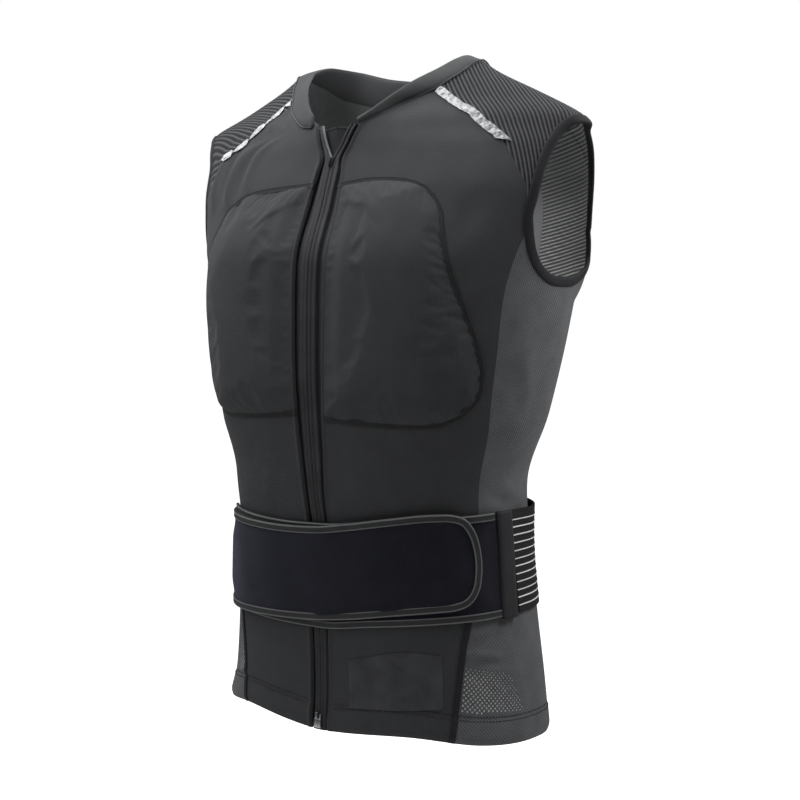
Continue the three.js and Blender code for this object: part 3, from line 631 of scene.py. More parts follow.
# The knit in the shade of the opening, darker and flatter to the eye
underlap_knit = fabric("shaded charcoal knit", "#343537", "#242527", 2.2, 1.9, 0.1, 0.85, 0.1, 0.4, 0.2)
z = np.linspace(UNDERLAP_BOTTOM, UNDERLAP_TOP, UNDERLAP_ROWS + 1)[:, None]
x = np.linspace(-UNDERLAP_HALF, UNDERLAP_HALF, UNDERLAP_COLUMNS + 1)
lift = UNDERLAP_LIFT + UNDERLAP_BOW * np.cos(math.pi * x / UNDERLAP_HALF)
lift = lift + UNDERLAP_RIDGE * bell(z - UNDERLAP_TOP + 1, 0.8)
panel(
    "zip_backing", skin(spots_at(np.sign(x) * turn_at(np.abs(x), z), z), lift), [underlap_knit],
    UNDERLAP_THICKNESS, "zip_tape", "zip_underlap",
)


def thread_line(name, line, lift, stitch, material, slot):
    """Row of separate stitches along a line of spots on the cloth."""
    pitch, length, radius = stitch
    run = run_of(skin(line))
    starts = np.arange(pitch / 2, run[-1] - pitch / 2, pitch)
    mids, ahead = read(starts, run, line), read(starts + 0.5, run, line)
    places = skin(mids, lift)
    shape = bmesh.new()
    for place, x, n in zip(places, unit(skin(ahead, lift) - places), outward(mids[:, 0], mids[:, 1])):
        y = np.cross(n, x)
        axes = np.column_stack([x * length / 2, y * radius, np.cross(x, y) * radius, place]) * MM
        frame_of = Matrix(axes).to_4x4()
        frame_of[3][3] = 1.0
        bmesh.ops.create_icosphere(shape, subdivisions=1, radius=1, matrix=frame_of)
    for face in shape.faces:
        face.smooth = True
    wear(piece_from(name, shape, material), slot)


def thread(name, code):
    """Polyester sewing thread: round, slightly shiny, with a little unevenness in its dye."""
    material, shader, place = begin(name)
    dye = add(material, "ShaderNodeTexNoise", {"Vector": place, "Scale": 400.0})
    uneven = {"Value": dye.outputs["Fac"], "To Min": 0.75, "To Max": 1.25}
    tone = add(material, "ShaderNodeMapRange", uneven)
    dyed = {0: linear(code)[:3], "Scale": tone.outputs["Result"]}
    tint = add(material, "ShaderNodeVectorMath", dyed, operation="SCALE")
    feed(material, shader, {"Base Color": tint.outputs["Vector"], "Roughness": 0.55})
    return material


# Black stitches sink into the cloth, and grey ones stand out a little
dark_thread = thread("black thread", "#161618")
grey_thread = thread("dark grey thread", "#3d3e40")
level = UNDERLAP_TOP - STITCH_INSET
reach = turn_at(UNDERLAP_HALF - STITCH_INSET, level)
top = spots_at(np.linspace(-reach, reach, 60), level)
thread_line("zip_backing_stitches", top, UNDERLAP_LIFT + 0.6, BACKING_STITCH, grey_thread, "zip_tape")

# Zip slider and end stop: small die-cast metal bodies. The slider is waisted, with a raised bridge
# for a puller, and the end stop is a plain box with a pin beside it at the hem.
SLIDER_LEVEL = -95
SLIDER_LIFT = -0.6
SLIDER_SIZE = (6.4, 9.5, 3.4)
SLIDER_WAIST = 0.66
STOP_LEVEL = -626
STOP_LIFT = 0.2
STOP_SIZE = (7.6, 14, 3.4)
METAL_ROUNDING = 0.5
# Blocks as shares of the body's width, length and thickness: their size, then their centre
SLIDER_BLOCKS = [
    (1, 1, 0.55, 0, 0, 0.28),
    (0.34, 0.62, 0.5, 0, -0.063, 0.75),
    (0.5, 0.2, 0.3, 0, 0.3, 0.66),
]
STOP_BLOCKS = [
    (1, 0.62, 1, 0, -0.19, 0.5),
    (0.3, 0.5, 0.7, -0.3, 0.26, 0.45),
    (0.26, 0.42, 0.6, 0.28, 0.22, 0.4),
    (0.2, 0.5, 0.3, 0, -0.2, 1.05),
]


def metal(name, code, roughness):
    """Plated zinc: bright, brushed along its length, with duller scuffs."""
    material, shader, place = begin(name)
    stretch = add(material, "ShaderNodeMapping", {"Vector": place, "Scale": (3000, 3000, 300)})
    grain = {"Vector": stretch.outputs["Vector"], "Scale": 1.0, "Detail": 3.0}
    brush = add(material, "ShaderNodeTexNoise", grain)
    dull = {"Value": brush.outputs["Fac"], "To Min": roughness - 0.1, "To Max": roughness + 0.15}
    scuff = add(material, "ShaderNodeTexNoise", {"Vector": place, "Scale": 700.0})
    worn = {"Value": scuff.outputs["Fac"], "To Min": 0.7, "To Max": 1.15}
    tone = add(material, "ShaderNodeMapRange", worn).outputs["Result"]
    tint = add(material, "ShaderNodeVectorMath", {0: linear(code)[:3], "Scale": tone}, operation="SCALE")
    rough = add(material, "ShaderNodeMapRange", dull).outputs["Result"]
    feed(material, shader, {"Base Color": tint.outputs["Vector"], "Roughness": rough, "Metallic": 1.0})
    return material


def metal_piece(name, size, blocks, waist, z, lift, node, material):
    """Small casting of joined blocks on the middle of the front, the first one narrowed to its waist."""
    shape = bmesh.new()
    for block in blocks:
        verts = bmesh.ops.create_cube(shape, size=1)["verts"]
        bmesh.ops.scale(shape, vec=Vector(np.multiply(block[:3], size)), verts=verts)
        bmesh.ops.translate(shape, vec=Vector(np.multiply(block[3:], size)), verts=verts)
        if block is blocks[0]:
            lower = [vert for vert in verts if vert.co.y < 0]
            bmesh.ops.scale(shape, vec=(waist, 1, 1), verts=lower)
    edges = [edge for edge in shape.edges if edge.calc_face_angle(0) > 0.5]
    bmesh.ops.bevel(
        shape, geom=edges, offset=METAL_ROUNDING, affect="EDGES", segments=3, profile=0.5, material=-1,
    )
    turn, level = np.zeros(1), np.array([float(z)])
    out = Vector(outward(turn, level)[0])
    across = Vector((1, 0, 0))
    place = Matrix.Translation((Vector(body(turn, level)[0]) + out * lift) * MM)
    axes = Matrix((across, out.cross(across), out)).transposed().to_4x4()
    bmesh.ops.transform(shape, matrix=place @ axes @ Matrix.Scale(MM, 4), verts=shape.verts)
    for face in shape.faces:
        face.smooth = True
    wear(piece_from(name, shape, material), "zip_metal", node)


# Bright plating on the end stop, and a dark one on the slider
zinc = metal("plated zinc", "#d4d5d6", 0.28)
dark_zinc = metal("black-plated zinc", "#37383a", 0.4)
metal_piece(
    "slider", SLIDER_SIZE, SLIDER_BLOCKS, SLIDER_WAIST, SLIDER_LEVEL, SLIDER_LIFT, "zip_slider", dark_zinc,
)
metal_piece("end_stop", STOP_SIZE, STOP_BLOCKS, 1, STOP_LEVEL, STOP_LIFT, "zip_pin_box", zinc)

# Chest pads: a foam insert under a second layer of the charcoal knit, sewn down all round with a
# flat four-thread seam. The foam lifts the cloth to a plateau and puckers it beside the seam.
# Lines as turn and level for the wearer's left and right
PAD_TOP = {
    "left": [(3.9, -118), (13, -114), (22, -116), (27, -122)],
    "right": [(3.9, -117), (16.7, -120.5), (23, -123), (28, -128)],
}
PAD_OUTER = {
    "left": [
        (51, -326), (56.5, -311), (56.8, -291), (53.6, -267), (45.4, -223), (36.4, -171), (31.9, -140),
        (27, -122),
    ],
    "right": [
        (52, -328), (60, -312), (62.5, -290), (62, -255), (58.5, -217), (52.5, -196.5), (44.3, -174),
        (38.5, -155), (34.2, -139.5), (28, -128),
    ],
}
PAD_BOTTOM = {
    "left": [(4, -333), (20.6, -336), (41, -335.5), (51, -326)],
    "right": [(4, -330), (20, -335), (40, -337), (52, -328)],
}
PAD_INNER = {
    "left": [(4, -333), (3.9, -225), (3.9, -118)],
    "right": [(4, -330), (3.9, -225), (3.9, -117)],
}
PAD_COLUMNS = 62
PAD_ROWS = 88
PAD_HEIGHT = 10
PAD_FOOT = 0.5
# Width of the slope up to the plateau at the zip, the outer side, the bottom and the top
PAD_SLOPES = {"left": (20, 42, 22, 24), "right": (20, 52, 22, 26)}
SLOPE_BLEND = 0.07
PAD_SWELL = 2.0
PAD_PRESSURE = 2.5
COVER_THICKNESS = 1.0
PUCKER_HEIGHT = 0.55
PUCKER_PITCH = 7.0
PUCKER_PLACE = 16
PUCKER_REACH = 7
SWELL_FRAMES = 20
SWELL_STIFFNESS = 40
SWELL_STRETCH = 0.012
FLATLOCK_WIDTH = 6.4
FLATLOCK_STEP = 0.75
FLATLOCK_PITCH = 2.6
FLATLOCK_LIFT = 0.9
FLATLOCK_THICKNESS = 0.5
# Turn at which the pad's seam runs under the zip's fold
SEAM_END = 3.2
# The four-thread seam is a little darker and glossier than the knit, with its rows of thread
seam_thread = fabric("charcoal seam thread", "#343537", "#1c1d1e", 1.1, 2.6, 0.2, 0.7, 0.1, 0.7, 0.1)


def from_edge(places):
    """Distance of each point of a grid from the nearest side of it, measured along the cloth."""
    u, v = lengths(places)
    return np.minimum(np.minimum(u, u[:, -1:] - u), np.minimum(v, v[-1:] - v))


def foam_edge(places, first, last, low, high):
    """Share of the foam's height over a grid: slopes of the given widths, soft creases and a plateau."""
    u, v = lengths(places)
    sides = np.stack([u / first, (u[:, -1:] - u) / last, v / low, (v[-1:] - v) / high, np.ones_like(u)])
    share = -SLOPE_BLEND * np.log(np.exp(-sides / SLOPE_BLEND).sum(axis=0))
    return np.maximum(share, 0) / share.max()


def points_of(mesh):
    return np.array([vert.co for vert in mesh.vertices])


def swell(piece, cap):
    """Inflates a sewn-down skin as cloth held along its edge, with no point moving further than cap."""
    start = points_of(piece.data)
    shape = bmesh.new()
    shape.from_mesh(piece.data)
    sewn = [vert.index for vert in shape.verts if vert.is_boundary]
    shape.free()
    held = piece.vertex_groups.new(name="sewn edge")
    held.add(sewn, 1.0, "REPLACE")
    cloth = piece.modifiers.new("swelling", "CLOTH")
    cloth.settings.vertex_group_mass = held.name
    cloth.settings.use_pressure = True
    cloth.settings.uniform_pressure_force = PAD_PRESSURE
    cloth.settings.tension_stiffness = SWELL_STIFFNESS
    cloth.settings.compression_stiffness = SWELL_STIFFNESS
    cloth.settings.shrink_min = -SWELL_STRETCH
    cloth.settings.effector_weights.gravity = 0
    cloth.collision_settings.use_collision = False
    cloth.point_cache.frame_start = 1
    cloth.point_cache.frame_end = SWELL_FRAMES
    for moment in range(1, SWELL_FRAMES + 1):
        scene.frame_set(moment)
    step = points_of(piece.evaluated_get(bpy.context.evaluated_depsgraph_get()).data) - start
    piece.modifiers.remove(cloth)
    piece.vertex_groups.clear()
    scene.frame_set(1)
    size = np.linalg.norm(step, axis=1, keepdims=True)
    step *= np.minimum(1, cap * MM / np.maximum(size, 1e-9))
    piece.data.vertices.foreach_set("co", (start + step).ravel())
    piece.data.update()


def soften(piece):
    smooth = piece.modifiers.new("softness", "SUBSURF")
    smooth.levels = smooth.render_levels = 1


def foam_cover(name, places, cap, node):
    """Knit cover over a foam part, sewn down along its edge and swelled by it."""
    cover = grid_piece(name, places, front_knit)
    swell(cover, cap)
    thicken(cover, COVER_THICKNESS)
    soften(cover)
    wear(cover, "front_knit", node)
    return cover


def ribbon_frames(line, closed=False):
    """Places, side and outward directions along a line of spots. The side lies to its left."""
    places = skin(line)
    if closed:
        run = np.roll(places[:-1], -1, axis=0) - np.roll(places[:-1], 1, axis=0)
        run = np.concatenate([run, run[:1]])
    else:
        run = np.gradient(places, axis=0)
    out = outward((line[:, 0] + 180) % 360 - 180, line[:, 1])
    return places, unit(np.cross(out, run)), out


def ribbon(line, aside, lift, closed=False):
    """Grid of places along a line of spots, at distances to its left and outwards."""
    places, side, out = (part[:, None] for part in ribbon_frames(line, closed))
    return places + side * np.asarray(aside)[..., None] + out * np.asarray(lift)[..., None]


def by_length(line, step):
    """The line again, in even steps measured on the body."""
    run = run_of(skin(line))
    at = np.linspace(0, run[-1], max(int(run[-1] / step), 2) + 1)
    return read(at, run, line), at


def flatlock(name, line):
    """Flat seam of four threads: two outer ridges with a zigzag of cover threads between them."""
    line, at = by_length(line, FLATLOCK_STEP)
    stitch = at[:, None] / FLATLOCK_PITCH
    across = np.linspace(-0.5, 0.5, 13)
    ridges = 0.5 * bell(np.abs(across) - 0.38, 0.07) * (1 - 0.35 * ripple(stitch))
    cover = 0.32 * ripple(stitch + across * 1.5) * (1 - smoothstep(np.abs(across), 0.3, 0.4))
    height = FLATLOCK_LIFT + ridges + cover - 0.6 * smoothstep(np.abs(across), 0.44, 0.5)
    grid = ribbon(line, -FLATLOCK_WIDTH * across, height)
    trim(name, grid, [seam_thread], FLATLOCK_THICKNESS, "front_knit")


for side in SIDES:
    bottom, top, inner, outer = (
        seam(lines[side], 200) for lines in (PAD_BOTTOM, PAD_TOP, PAD_INNER, PAD_OUTER)
    )
    spots = patch(bottom, top, inner, outer, even(PAD_COLUMNS), even(PAD_ROWS))
    base = skin(spots)
    u, v = lengths(base)
    edge = from_edge(base)
    lift = PAD_FOOT + (PAD_HEIGHT - PAD_SWELL) * foam_edge(base, *PAD_SLOPES[side])
    outline = joined(bottom, outer, top[::-1])
    ends = [[(SEAM_END, line[0, 1])] for line in (bottom, top)]
    outline = np.concatenate([ends[0], outline, ends[1]])
    if side == "right":
        spots, outline = mirrored(spots), outline[::-1] * (-1, 1)
        lift, edge, u, v = (part[:, ::-1] for part in (lift, edge, u, v))
    pad = foam_cover(f"pad_{side}", skin(spots, lift), PAD_SWELL, f"chest_pad_{side}")
    wander = np.sin(u * 0.13) * 1.3 + np.sin(u * 0.041 + 1)
    pucker = np.cos(2 * math.pi * u / PUCKER_PITCH + wander) * (0.6 + 0.4 * np.sin(u * 0.09 + 2))
    near_end = bell(np.minimum(v, v[-1:] - v) - PUCKER_PLACE, PUCKER_REACH)
    pucker = PUCKER_HEIGHT * pucker * near_end * smoothstep(edge, 2, 12)
    moved = (outward(spots[..., 0], spots[..., 1]) * pucker[..., None]).reshape(-1, 3) * MM
    pad.data.vertices.foreach_set("co", (points_of(pad.data) + moved).ravel())
    flatlock(f"pad_seam_{side}", outline)

# Shoulder yokes: thick black rib knit over each shoulder, its ribs running the same way on both
# sides, sewn to the fronts, the back, the neck band and the armhole binding.
ARM_YOKE_BACK = (118, -105)
ARM_SHOULDER = [
    (62.4, -104), (67, -79), (77, -60), (90, -56.5), (103, -57.5), (111, -64), (114.5, -74), (117, -88),
]
YOKE_BACK = [(124, -84), (131, -53)]
NECK_YOKE_BACK = (137, -20)
NECK_SHOULDER = [(58, -17.5), (75, -4.2), (90, -0.6), (104, -2), (121, -9)]
YOKE_THICKNESS = 1.6
YOKE_COLUMNS = 270
YOKE_ROWS = 160
RIB_HEIGHT = 0.4
# Across the ribs, seen from above, in ribs per millimetre
RIBS = {"left": np.array([0.5, 0.866]) / 3.2, "right": np.array([0.44, 0.9]) / 2.7}
# The back sides' ribs lie nearly level, rising outwards
SIDE_RIBS = {side: np.array([-0.18 * sign, 0, 1]) / 3.6 for side, sign in SIDES.items()}
# The inside is lined within this distance of the middle
LINING_HALF = 148


def rib_knit(name, light, dark, ribs):
    """Rib knit, counted per millimetre along each axis: the round ribs are painted pale and the gaps between
    them dark, as painted highlight and shade.
    """
    material, shader, place = begin(name)
    turns = [2 * math.pi * count / MM for count in ribs]
    phase = add(material, "ShaderNodeVectorMath", {0: place, 1: turns}, operation="DOT_PRODUCT")
    wave = add(material, "ShaderNodeMath", {0: phase.outputs["Value"]}, operation="COSINE")
    fibre = add(material, "ShaderNodeTexNoise", {"Vector": place, "Scale": 700.0, "Detail": 2.0})
    terms = {0: fibre.outputs["Fac"], 1: 0.9, 2: wave.outputs["Value"]}
    rough = add(material, "ShaderNodeMath", terms, operation="MULTIPLY_ADD").outputs["Value"]
    rib_light_and_shade = {"Value": rough, "From Min": -0.35, "From Max": 1.5}
    share = add(material, "ShaderNodeMapRange", rib_light_and_shade, interpolation_type="SMOOTHSTEP")
    tones = {0: share.outputs["Result"], 6: linear(dark), 7: linear(light)}
    colour = add(material, "ShaderNodeMix", tones, data_type="RGBA")
    bump = add(material, "ShaderNodeBump", {"Height": rough, "Distance": 0.3 * MM, "Strength": 1.0})
    feed(material, shader, {
        "Base Color": colour.outputs[2], "Normal": bump.outputs["Normal"], "Roughness": 0.8,
        "Specular IOR Level": 0.25, "Sheen Weight": 0.3, "Sheen Tint": linear(light),
    })
    return material


# Smooth lining inside the shoulders, painted far paler than its own grey as painted light, where little light
# reaches inside the vest
lining = fabric("grey lining", "#9fa0a2", "#959698", 2.4, 2.4, 0.05, 0.85, 0.1, 0.2, 0.2)
# Near-black ribs, painted paler on their crests and darker in the gaps between them as painted highlight and
# shade
yoke_knit = {
    side: rib_knit(f"black rib knit {side}", "#4e4f52", "#19191b", (*ribs, 0)) for side, ribs in RIBS.items()
}
# The ribs are paler on their reverse, and this face is painted paler still as painted light, where little
# light reaches inside the vest
rib_reverse = {
    side: rib_knit(f"grey rib reverse {side}", "#cacbcb", "#646565", SIDE_RIBS[side]) for side in SIDES
}
arm_shoulder = seam([ARM_YOKE_FRONT, *ARM_SHOULDER, ARM_YOKE_BACK], 12 * FINE)
neck_shoulder = seam([NECK_YOKE_FRONT, *NECK_SHOULDER, NECK_YOKE_BACK], 12 * FINE)
yoke_back = seam([ARM_YOKE_BACK, *YOKE_BACK, NECK_YOKE_BACK], 6 * FINE)
for side in SIDES:
    spots = patch(arm_shoulder, neck_shoulder, yoke_front, yoke_back, even(YOKE_COLUMNS), even(YOKE_ROWS))
    if side == "right":
        spots = mirrored(spots)
    base = skin(spots)
    ribs = RIB_HEIGHT * ripple(base[..., :2] @ RIBS[side]) * smoothstep(from_edge(base), 0, 4)
    yoke = panel(
        f"shoulder_{side}", skin(spots, ribs), [yoke_knit[side], lining, yoke_knit[side], rib_reverse[side]],
        YOKE_THICKNESS, "rib_knit", f"shoulder_yoke_{side}", inside=1,
    )
    for face in yoke.data.polygons:
        face.material_index = 2 * int(abs(face.center.x) > LINING_HALF * MM)

# Reflective strips: silver film on a cloth tape, sewn over the front seam of each yoke. The film
# has crinkled, and its lower end is cut on a slant.
STRIP_HALF = 4.5
STRIP_STEP = 1.0
STRIP_LIFT = 1.3
STRIP_CROWN = 0.5
STRIP_THICKNESS = 0.5
# Middle line from the lower end to the neck, as turn and level
STRIP = {
    "left": [
        (53.5, -84), (52.5, -78.5), (52.7, -69.5), (52.5, -61.5), (52, -52), (50.75, -46.5), (50, -39),
        (49, -28.5),
    ],
    "right": [
        (55, -86), (51, -80), (49.3, -75), (49, -68.5), (49.8, -59), (49.25, -51.5), (50, -43.5), (52, -34),
        (51, -30),
    ],
}
STRIP_CUT = {"left": 13.0, "right": 7.0}
CRINKLE = {"left": 0.4, "right": 0.6}
# Crinkles: height, pitch and slant
CRINKLES = ((0.5, 11.0, 0.25), (0.35, 6.3, -0.3), (0.25, 3.9, 0.4))
# The film is drawn into leaves by the gathered cloth: share of its width lost, and length of a leaf
SCALLOP = {"left": 0.12, "right": 0.8}
GATHERS = {"left": 17.0, "right": 24.0}
# The two strips are one film: the left one's tones are painted darker than the right one's, as painted shade
# where less light falls on it
FILM_LIT_AND_SHADED = {"left": ("#4c4e50", "#9a9b9c"), "right": ("#85878a", "#e6e6e6")}


def reflective_film(name, dark, light):
    """Silver film on cloth: half metallic to the eye, with fine creases whose colour follows their height,
    painted lighter on the crests and darker in the hollows as painted highlight and shade.
    """
    material, shader, place = begin(name)
    noise = {"Vector": place, "Scale": 260.0, "Detail": 5.0, "Distortion": 0.8}
    creases = add(material, "ShaderNodeTexNoise", noise).outputs["Fac"]
    shade = add(material, "ShaderNodeMapRange", {"Value": creases, "From Min": 0.3, "From Max": 0.68})
    tones = {0: shade.outputs["Result"], 6: linear(dark), 7: linear(light)}
    colour = add(material, "ShaderNodeMix", tones, data_type="RGBA")
    bump = add(material, "ShaderNodeBump", {"Height": creases, "Distance": 0.5 * MM, "Strength": 0.8})
    feed(material, shader, {
        "Base Color": colour.outputs[2], "Normal": bump.outputs["Normal"],
        "Roughness": 0.38, "Metallic": 0.25,
    })
    return material


chance = np.random.default_rng(7)
for side, sign in SIDES.items():
    line, at = by_length(seam(STRIP[side], 90) * (sign, 1), 0.5)
    frames = np.concatenate(ribbon_frames(line), axis=1)
    across = np.linspace(-sign, sign, 11)
    start = STRIP_CUT[side] * (1 - across) / 2
    run = start + (at[-1] - start) * even(int(at[-1] / STRIP_STEP))[:, None]
    places, sideways, out = np.split(read(run, at, frames), 3, axis=-1)
    leaf = run / GATHERS[side] % 1
    drawn_in = 1 - smoothstep(leaf, 0, 0.5) * (1 - smoothstep(leaf, 0.88, 1))
    aside = -sign * STRIP_HALF * (1 - SCALLOP[side] * drawn_in) * across
    waves = sum(
        size * np.sin(2 * math.pi * (run / pitch + across * slant) + chance.uniform(0, 6.28))
        for size, pitch, slant in CRINKLES
    )
    lift = STRIP_LIFT + STRIP_CROWN * (1 - across ** 2) + CRINKLE[side] * waves * (1 - 0.5 * across ** 2)
    film = reflective_film(f"silver reflective film {side}", *FILM_LIT_AND_SHADED[side])
    grid = places + sideways * aside[..., None] + out * lift[..., None]
    trim(f"strip_{side}", grid, [film], STRIP_THICKNESS, "reflective_film", f"reflective_strip_{side}")

# Back: a centre panel of the charcoal knit between two sides of rib knit, which run from the hem to
# the yokes. The ribs lie level and show inside through the armholes.
BACK_SIDE_SEAM = [(121, -520), (121, -400), (118, -300)]
BACK_SIDE_HEM = 122
BACK_SEAM_TURN = 150
BACK_SEAM_MIDDLE = -200
BACK_SEAM_UPPER = -105
ARM_UNDER_BACK = (116, -186)
ARM_BACK_BEND = (118.6, -142)
NECK_BACK_SEAM = (151, -27)
NECK_BACK = (180, -31)
BACK_COLUMNS = 64
BACK_ROWS = 180
BACK_SIDE_COLUMNS = 22
BACK_SIDE_ROWS = 760
BACK_THICKNESS = 1.8
# The ribs end at a plain stretch below the neck, and the lining covers that and the middle below it
PLAIN_LEVEL = -52
PLAIN_FADE = 12
LINED_LEVEL = -110
LINED_HALF = 118
# Greyer face of the ribs outside the back
back_side_knit = {
    side: rib_knit(f"grey rib knit {side}", "#5a5b5e", "#232426", SIDE_RIBS[side]) for side in SIDES
}
back_side_seam = seam([hem_spot(BACK_SIDE_HEM), *BACK_SIDE_SEAM, ARM_UNDER_BACK], 12 * FINE)
arm_back = seam([ARM_UNDER_BACK, ARM_BACK_BEND, ARM_YOKE_BACK], 3 * FINE)
back_seam = joined(
    seam([hem_spot(BACK_SEAM_TURN), (BACK_SEAM_TURN, BACK_SEAM_MIDDLE)], 12 * FINE),
    seam([(BACK_SEAM_TURN, BACK_SEAM_MIDDLE), (BACK_SEAM_TURN, BACK_SEAM_UPPER)], 3 * FINE),
    seam([(BACK_SEAM_TURN, BACK_SEAM_UPPER), NECK_BACK_SEAM], 6 * FINE),
)
for side in SIDES:
    spots = patch(
        hem(BACK_SIDE_HEM, BACK_SEAM_TURN),
        seam([NECK_YOKE_BACK, NECK_BACK_SEAM], 40),
        joined(back_side_seam, arm_back, yoke_back),
        back_seam,
        even(BACK_SIDE_COLUMNS),
        even(BACK_SIDE_ROWS),
    )
    if side == "right":
        spots = mirrored(spots)
    ribs = RIB_HEIGHT * np.cos(2 * math.pi * (skin(spots) @ SIDE_RIBS[side]))
    ribs = ribs * (1 - smoothstep(spots[..., 1], PLAIN_LEVEL - PLAIN_FADE, PLAIN_LEVEL))
    rib_side = panel(
        f"back_side_knit_{side}", skin(spots, ribs + hem_relief(spots)),
        [back_side_knit[side], rib_reverse[side], back_side_knit[side], lining],
        BACK_THICKNESS, "rib_knit", f"back_side_{side}", inside=1,
    )
    for face in rib_side.data.polygons:
        x, _, z = face.center / MM
        lined = z > PLAIN_LEVEL or abs(x) < LINED_HALF and z > LINED_LEVEL
        face.material_index = 2 * int(lined)


def other_half(line):
    """A line of the left half of the back, on the right half."""
    return line * (-1, 1) + (360, 0)


def across_back(half):
    """A line to the centre back, carried on to the other side."""
    return joined(half, other_half(half[::-1]))


spots = patch(
    across_back(hem(BACK_SEAM_TURN, 180)),
    across_back(seam([NECK_BACK_SEAM, NECK_BACK], 40)),
    back_seam,
    other_half(back_seam),
    even(BACK_COLUMNS),
    even(BACK_ROWS),
)
turned = spots_at(180 - np.abs(180 - spots[..., 0]), spots[..., 1])
panel(
    "centre_back", skin(spots, hem_relief(turned)), [front_knit, lining],
    BACK_THICKNESS, "front_knit", "back_panel", inside=1,
)

# Back protector: a thick foam plate in a sewn-on cover of the charcoal knit, plain, with its edges
# drawn down to the centre back by the same flat seam as the chest pads.
# Half width as turn, and level
BACK_PAD = [(19, -394), (23.5, -380), (25, -330), (26.5, -250), (27, -170), (25.5, -118), (20, -100)]
BACK_PAD_LOW = -398
BACK_PAD_HIGH = -94
BACK_PAD_HEIGHT = 12.0
BACK_PAD_SWELL = 3.0
BACK_PAD_SLOPE = 30
BACK_PAD_COLUMNS = 66
BACK_PAD_ROWS = 92
edge_line = seam([(180 - half, z) for half, z in BACK_PAD], 200)
bottom = across_back(np.linspace(edge_line[0], (180, BACK_PAD_LOW), 60))
top = across_back(np.linspace(edge_line[-1], (180, BACK_PAD_HIGH), 60))
far_line = other_half(edge_line)
spots = patch(bottom, top, edge_line, far_line, even(BACK_PAD_COLUMNS), even(BACK_PAD_ROWS))
plateau = foam_edge(skin(spots), *[BACK_PAD_SLOPE] * 4)
lift = PAD_FOOT + (BACK_PAD_HEIGHT - BACK_PAD_SWELL) * plateau
foam_cover("spine_pad", skin(spots, lift), BACK_PAD_SWELL, "back_protector")
flatlock("spine_pad_seam", joined(bottom, far_line, top[::-1], edge_line[::-1]))

# Side panels: a grey mesh knit from the hem to the underarm. In the low front part its staggered
# holes are drawn open and their floors are painted pale, as painted light seen through them. Elsewhere they
# are shut.
ARM_UNDER = [(110, -202), (100, -209), (90, -210), (82, -207), (75, -197), (69.5, -182)]
SIDE_THICKNESS = 1.2
SIDE_COLUMNS = 64
SIDE_ROWS = 190
# The holes are widest in the low front part, and close towards its rear and upper edges: level and
# turn of the rear edge, turn and level of the upper one
VENT_SIDE = np.array([(-620, 84), (-606, 83), (-565, 75)])
VENT_TOP = np.array([(48, -563), (72, -574), (90, -590)])
VENT_FADE = 18
VENT_TOP_FADE = 12
HOLE_INSETS = (0.95, 0.8, 0.64, 0.52)
HOLE_DEPTH = 0.35
CLOSED_HEM = HEM_TURN_UP + 3
# Matt grey polyester mesh with a slanting lattice, drawn at 2.4 mm so that it shows
side_knit = fabric("grey mesh knit", "#717274", "#3d3e40", 2.4, 2.4, 0.16, 0.8, 0.3, 0.7, 0.4, slant=45)
# Pale paint on the floors of the holes, painted light that stands for the light dots seen through them
hole_light_paint = fabric("mesh hole painted light", "#d8d9d9", "#a6a7a7", 1.4, 1.4, 0.05, 0.8, 0.1, 0.4, 0.2)
arm_under = seam([ARM_UNDER_BACK, *ARM_UNDER, ARM_UNDER_FRONT], 100)
for side in SIDES:
    spots = patch(
        hem(SIDE_SEAM_HEM[side], BACK_SIDE_HEM),
        arm_under[::-1],
        side_seam[side],
        back_side_seam,
        even(SIDE_COLUMNS),
        even(SIDE_ROWS),
    )
    if side == "right":
        spots = mirrored(spots)
    mesh_side = panel(
        f"mesh_side_{side}", skin(spots, hem_relief(spots)), [side_knit, hole_light_paint],
        SIDE_THICKNESS, "side_mesh", f"side_panel_{side}",
    )
    shape = bmesh.new()
    shape.from_mesh(mesh_side.data)
    holes = {inset: [] for inset in HOLE_INSETS}
    for face in shape.faces:
        row, column = divmod(min(vert.index for vert in face.verts), SIDE_COLUMNS + 1)
        turn, z = abs(spots[row, column, 0]), spots[row, column, 1]
        from_rear = (np.interp(z, *VENT_SIDE.T) - turn) / VENT_FADE
        from_top = (np.interp(turn, *VENT_TOP.T) - z) / VENT_TOP_FADE + 0.3
        open_share = min(from_rear, from_top)
        inside = 1 < column < SIDE_COLUMNS - 2 and CLOSED_HEM < z - hem_level(turn)
        if inside and (row + column) % 2 == 0 and open_share > 0:
            holes[HOLE_INSETS[min(int(open_share * 4), 3)]].append(face)
    for inset, faces in holes.items():
        bmesh.ops.inset_individual(shape, faces=faces, thickness=inset * MM, depth=-HOLE_DEPTH * MM)
        # The floors of the open holes take the pale paint, as painted light
        for face in faces:
            face.material_index = 1
    shape.to_mesh(mesh_side.data)
    shape.free()

# Hem stitching and side seams: two rows of thread hold the turned-up hem, and a dark flat tape
# covers the side seam between the belt and the hem.
SEAM_TAPE_WIDTH = 6
SEAM_TAPE_TOP = -505
SEAM_TAPE_LIFT = 0.9
SEAM_TAPE_CROWN = 0.4
SEAM_TAPE_THICKNESS = 0.6
STITCH_ROWS = (HEM_TURN_UP + 0.4, HEM_TURN_UP - 3.4)
HEM_STITCH = (3.2, 2.9, 0.55)
# The rows of thread run from the zip to the centre back
STITCHED_TURNS = (3.6, 179)
for number, above in enumerate(STITCH_ROWS, 1):
    for side, sign in SIDES.items():
        line = hem(*STITCHED_TURNS, 299) + (0, above)
        lift = float(hem_relief(line[0])) + 0.15
        name = f"hem_stitches_{side}_{number}"
        thread_line(name, line * (sign, 1), lift, HEM_STITCH, dark_thread, "front_knit")
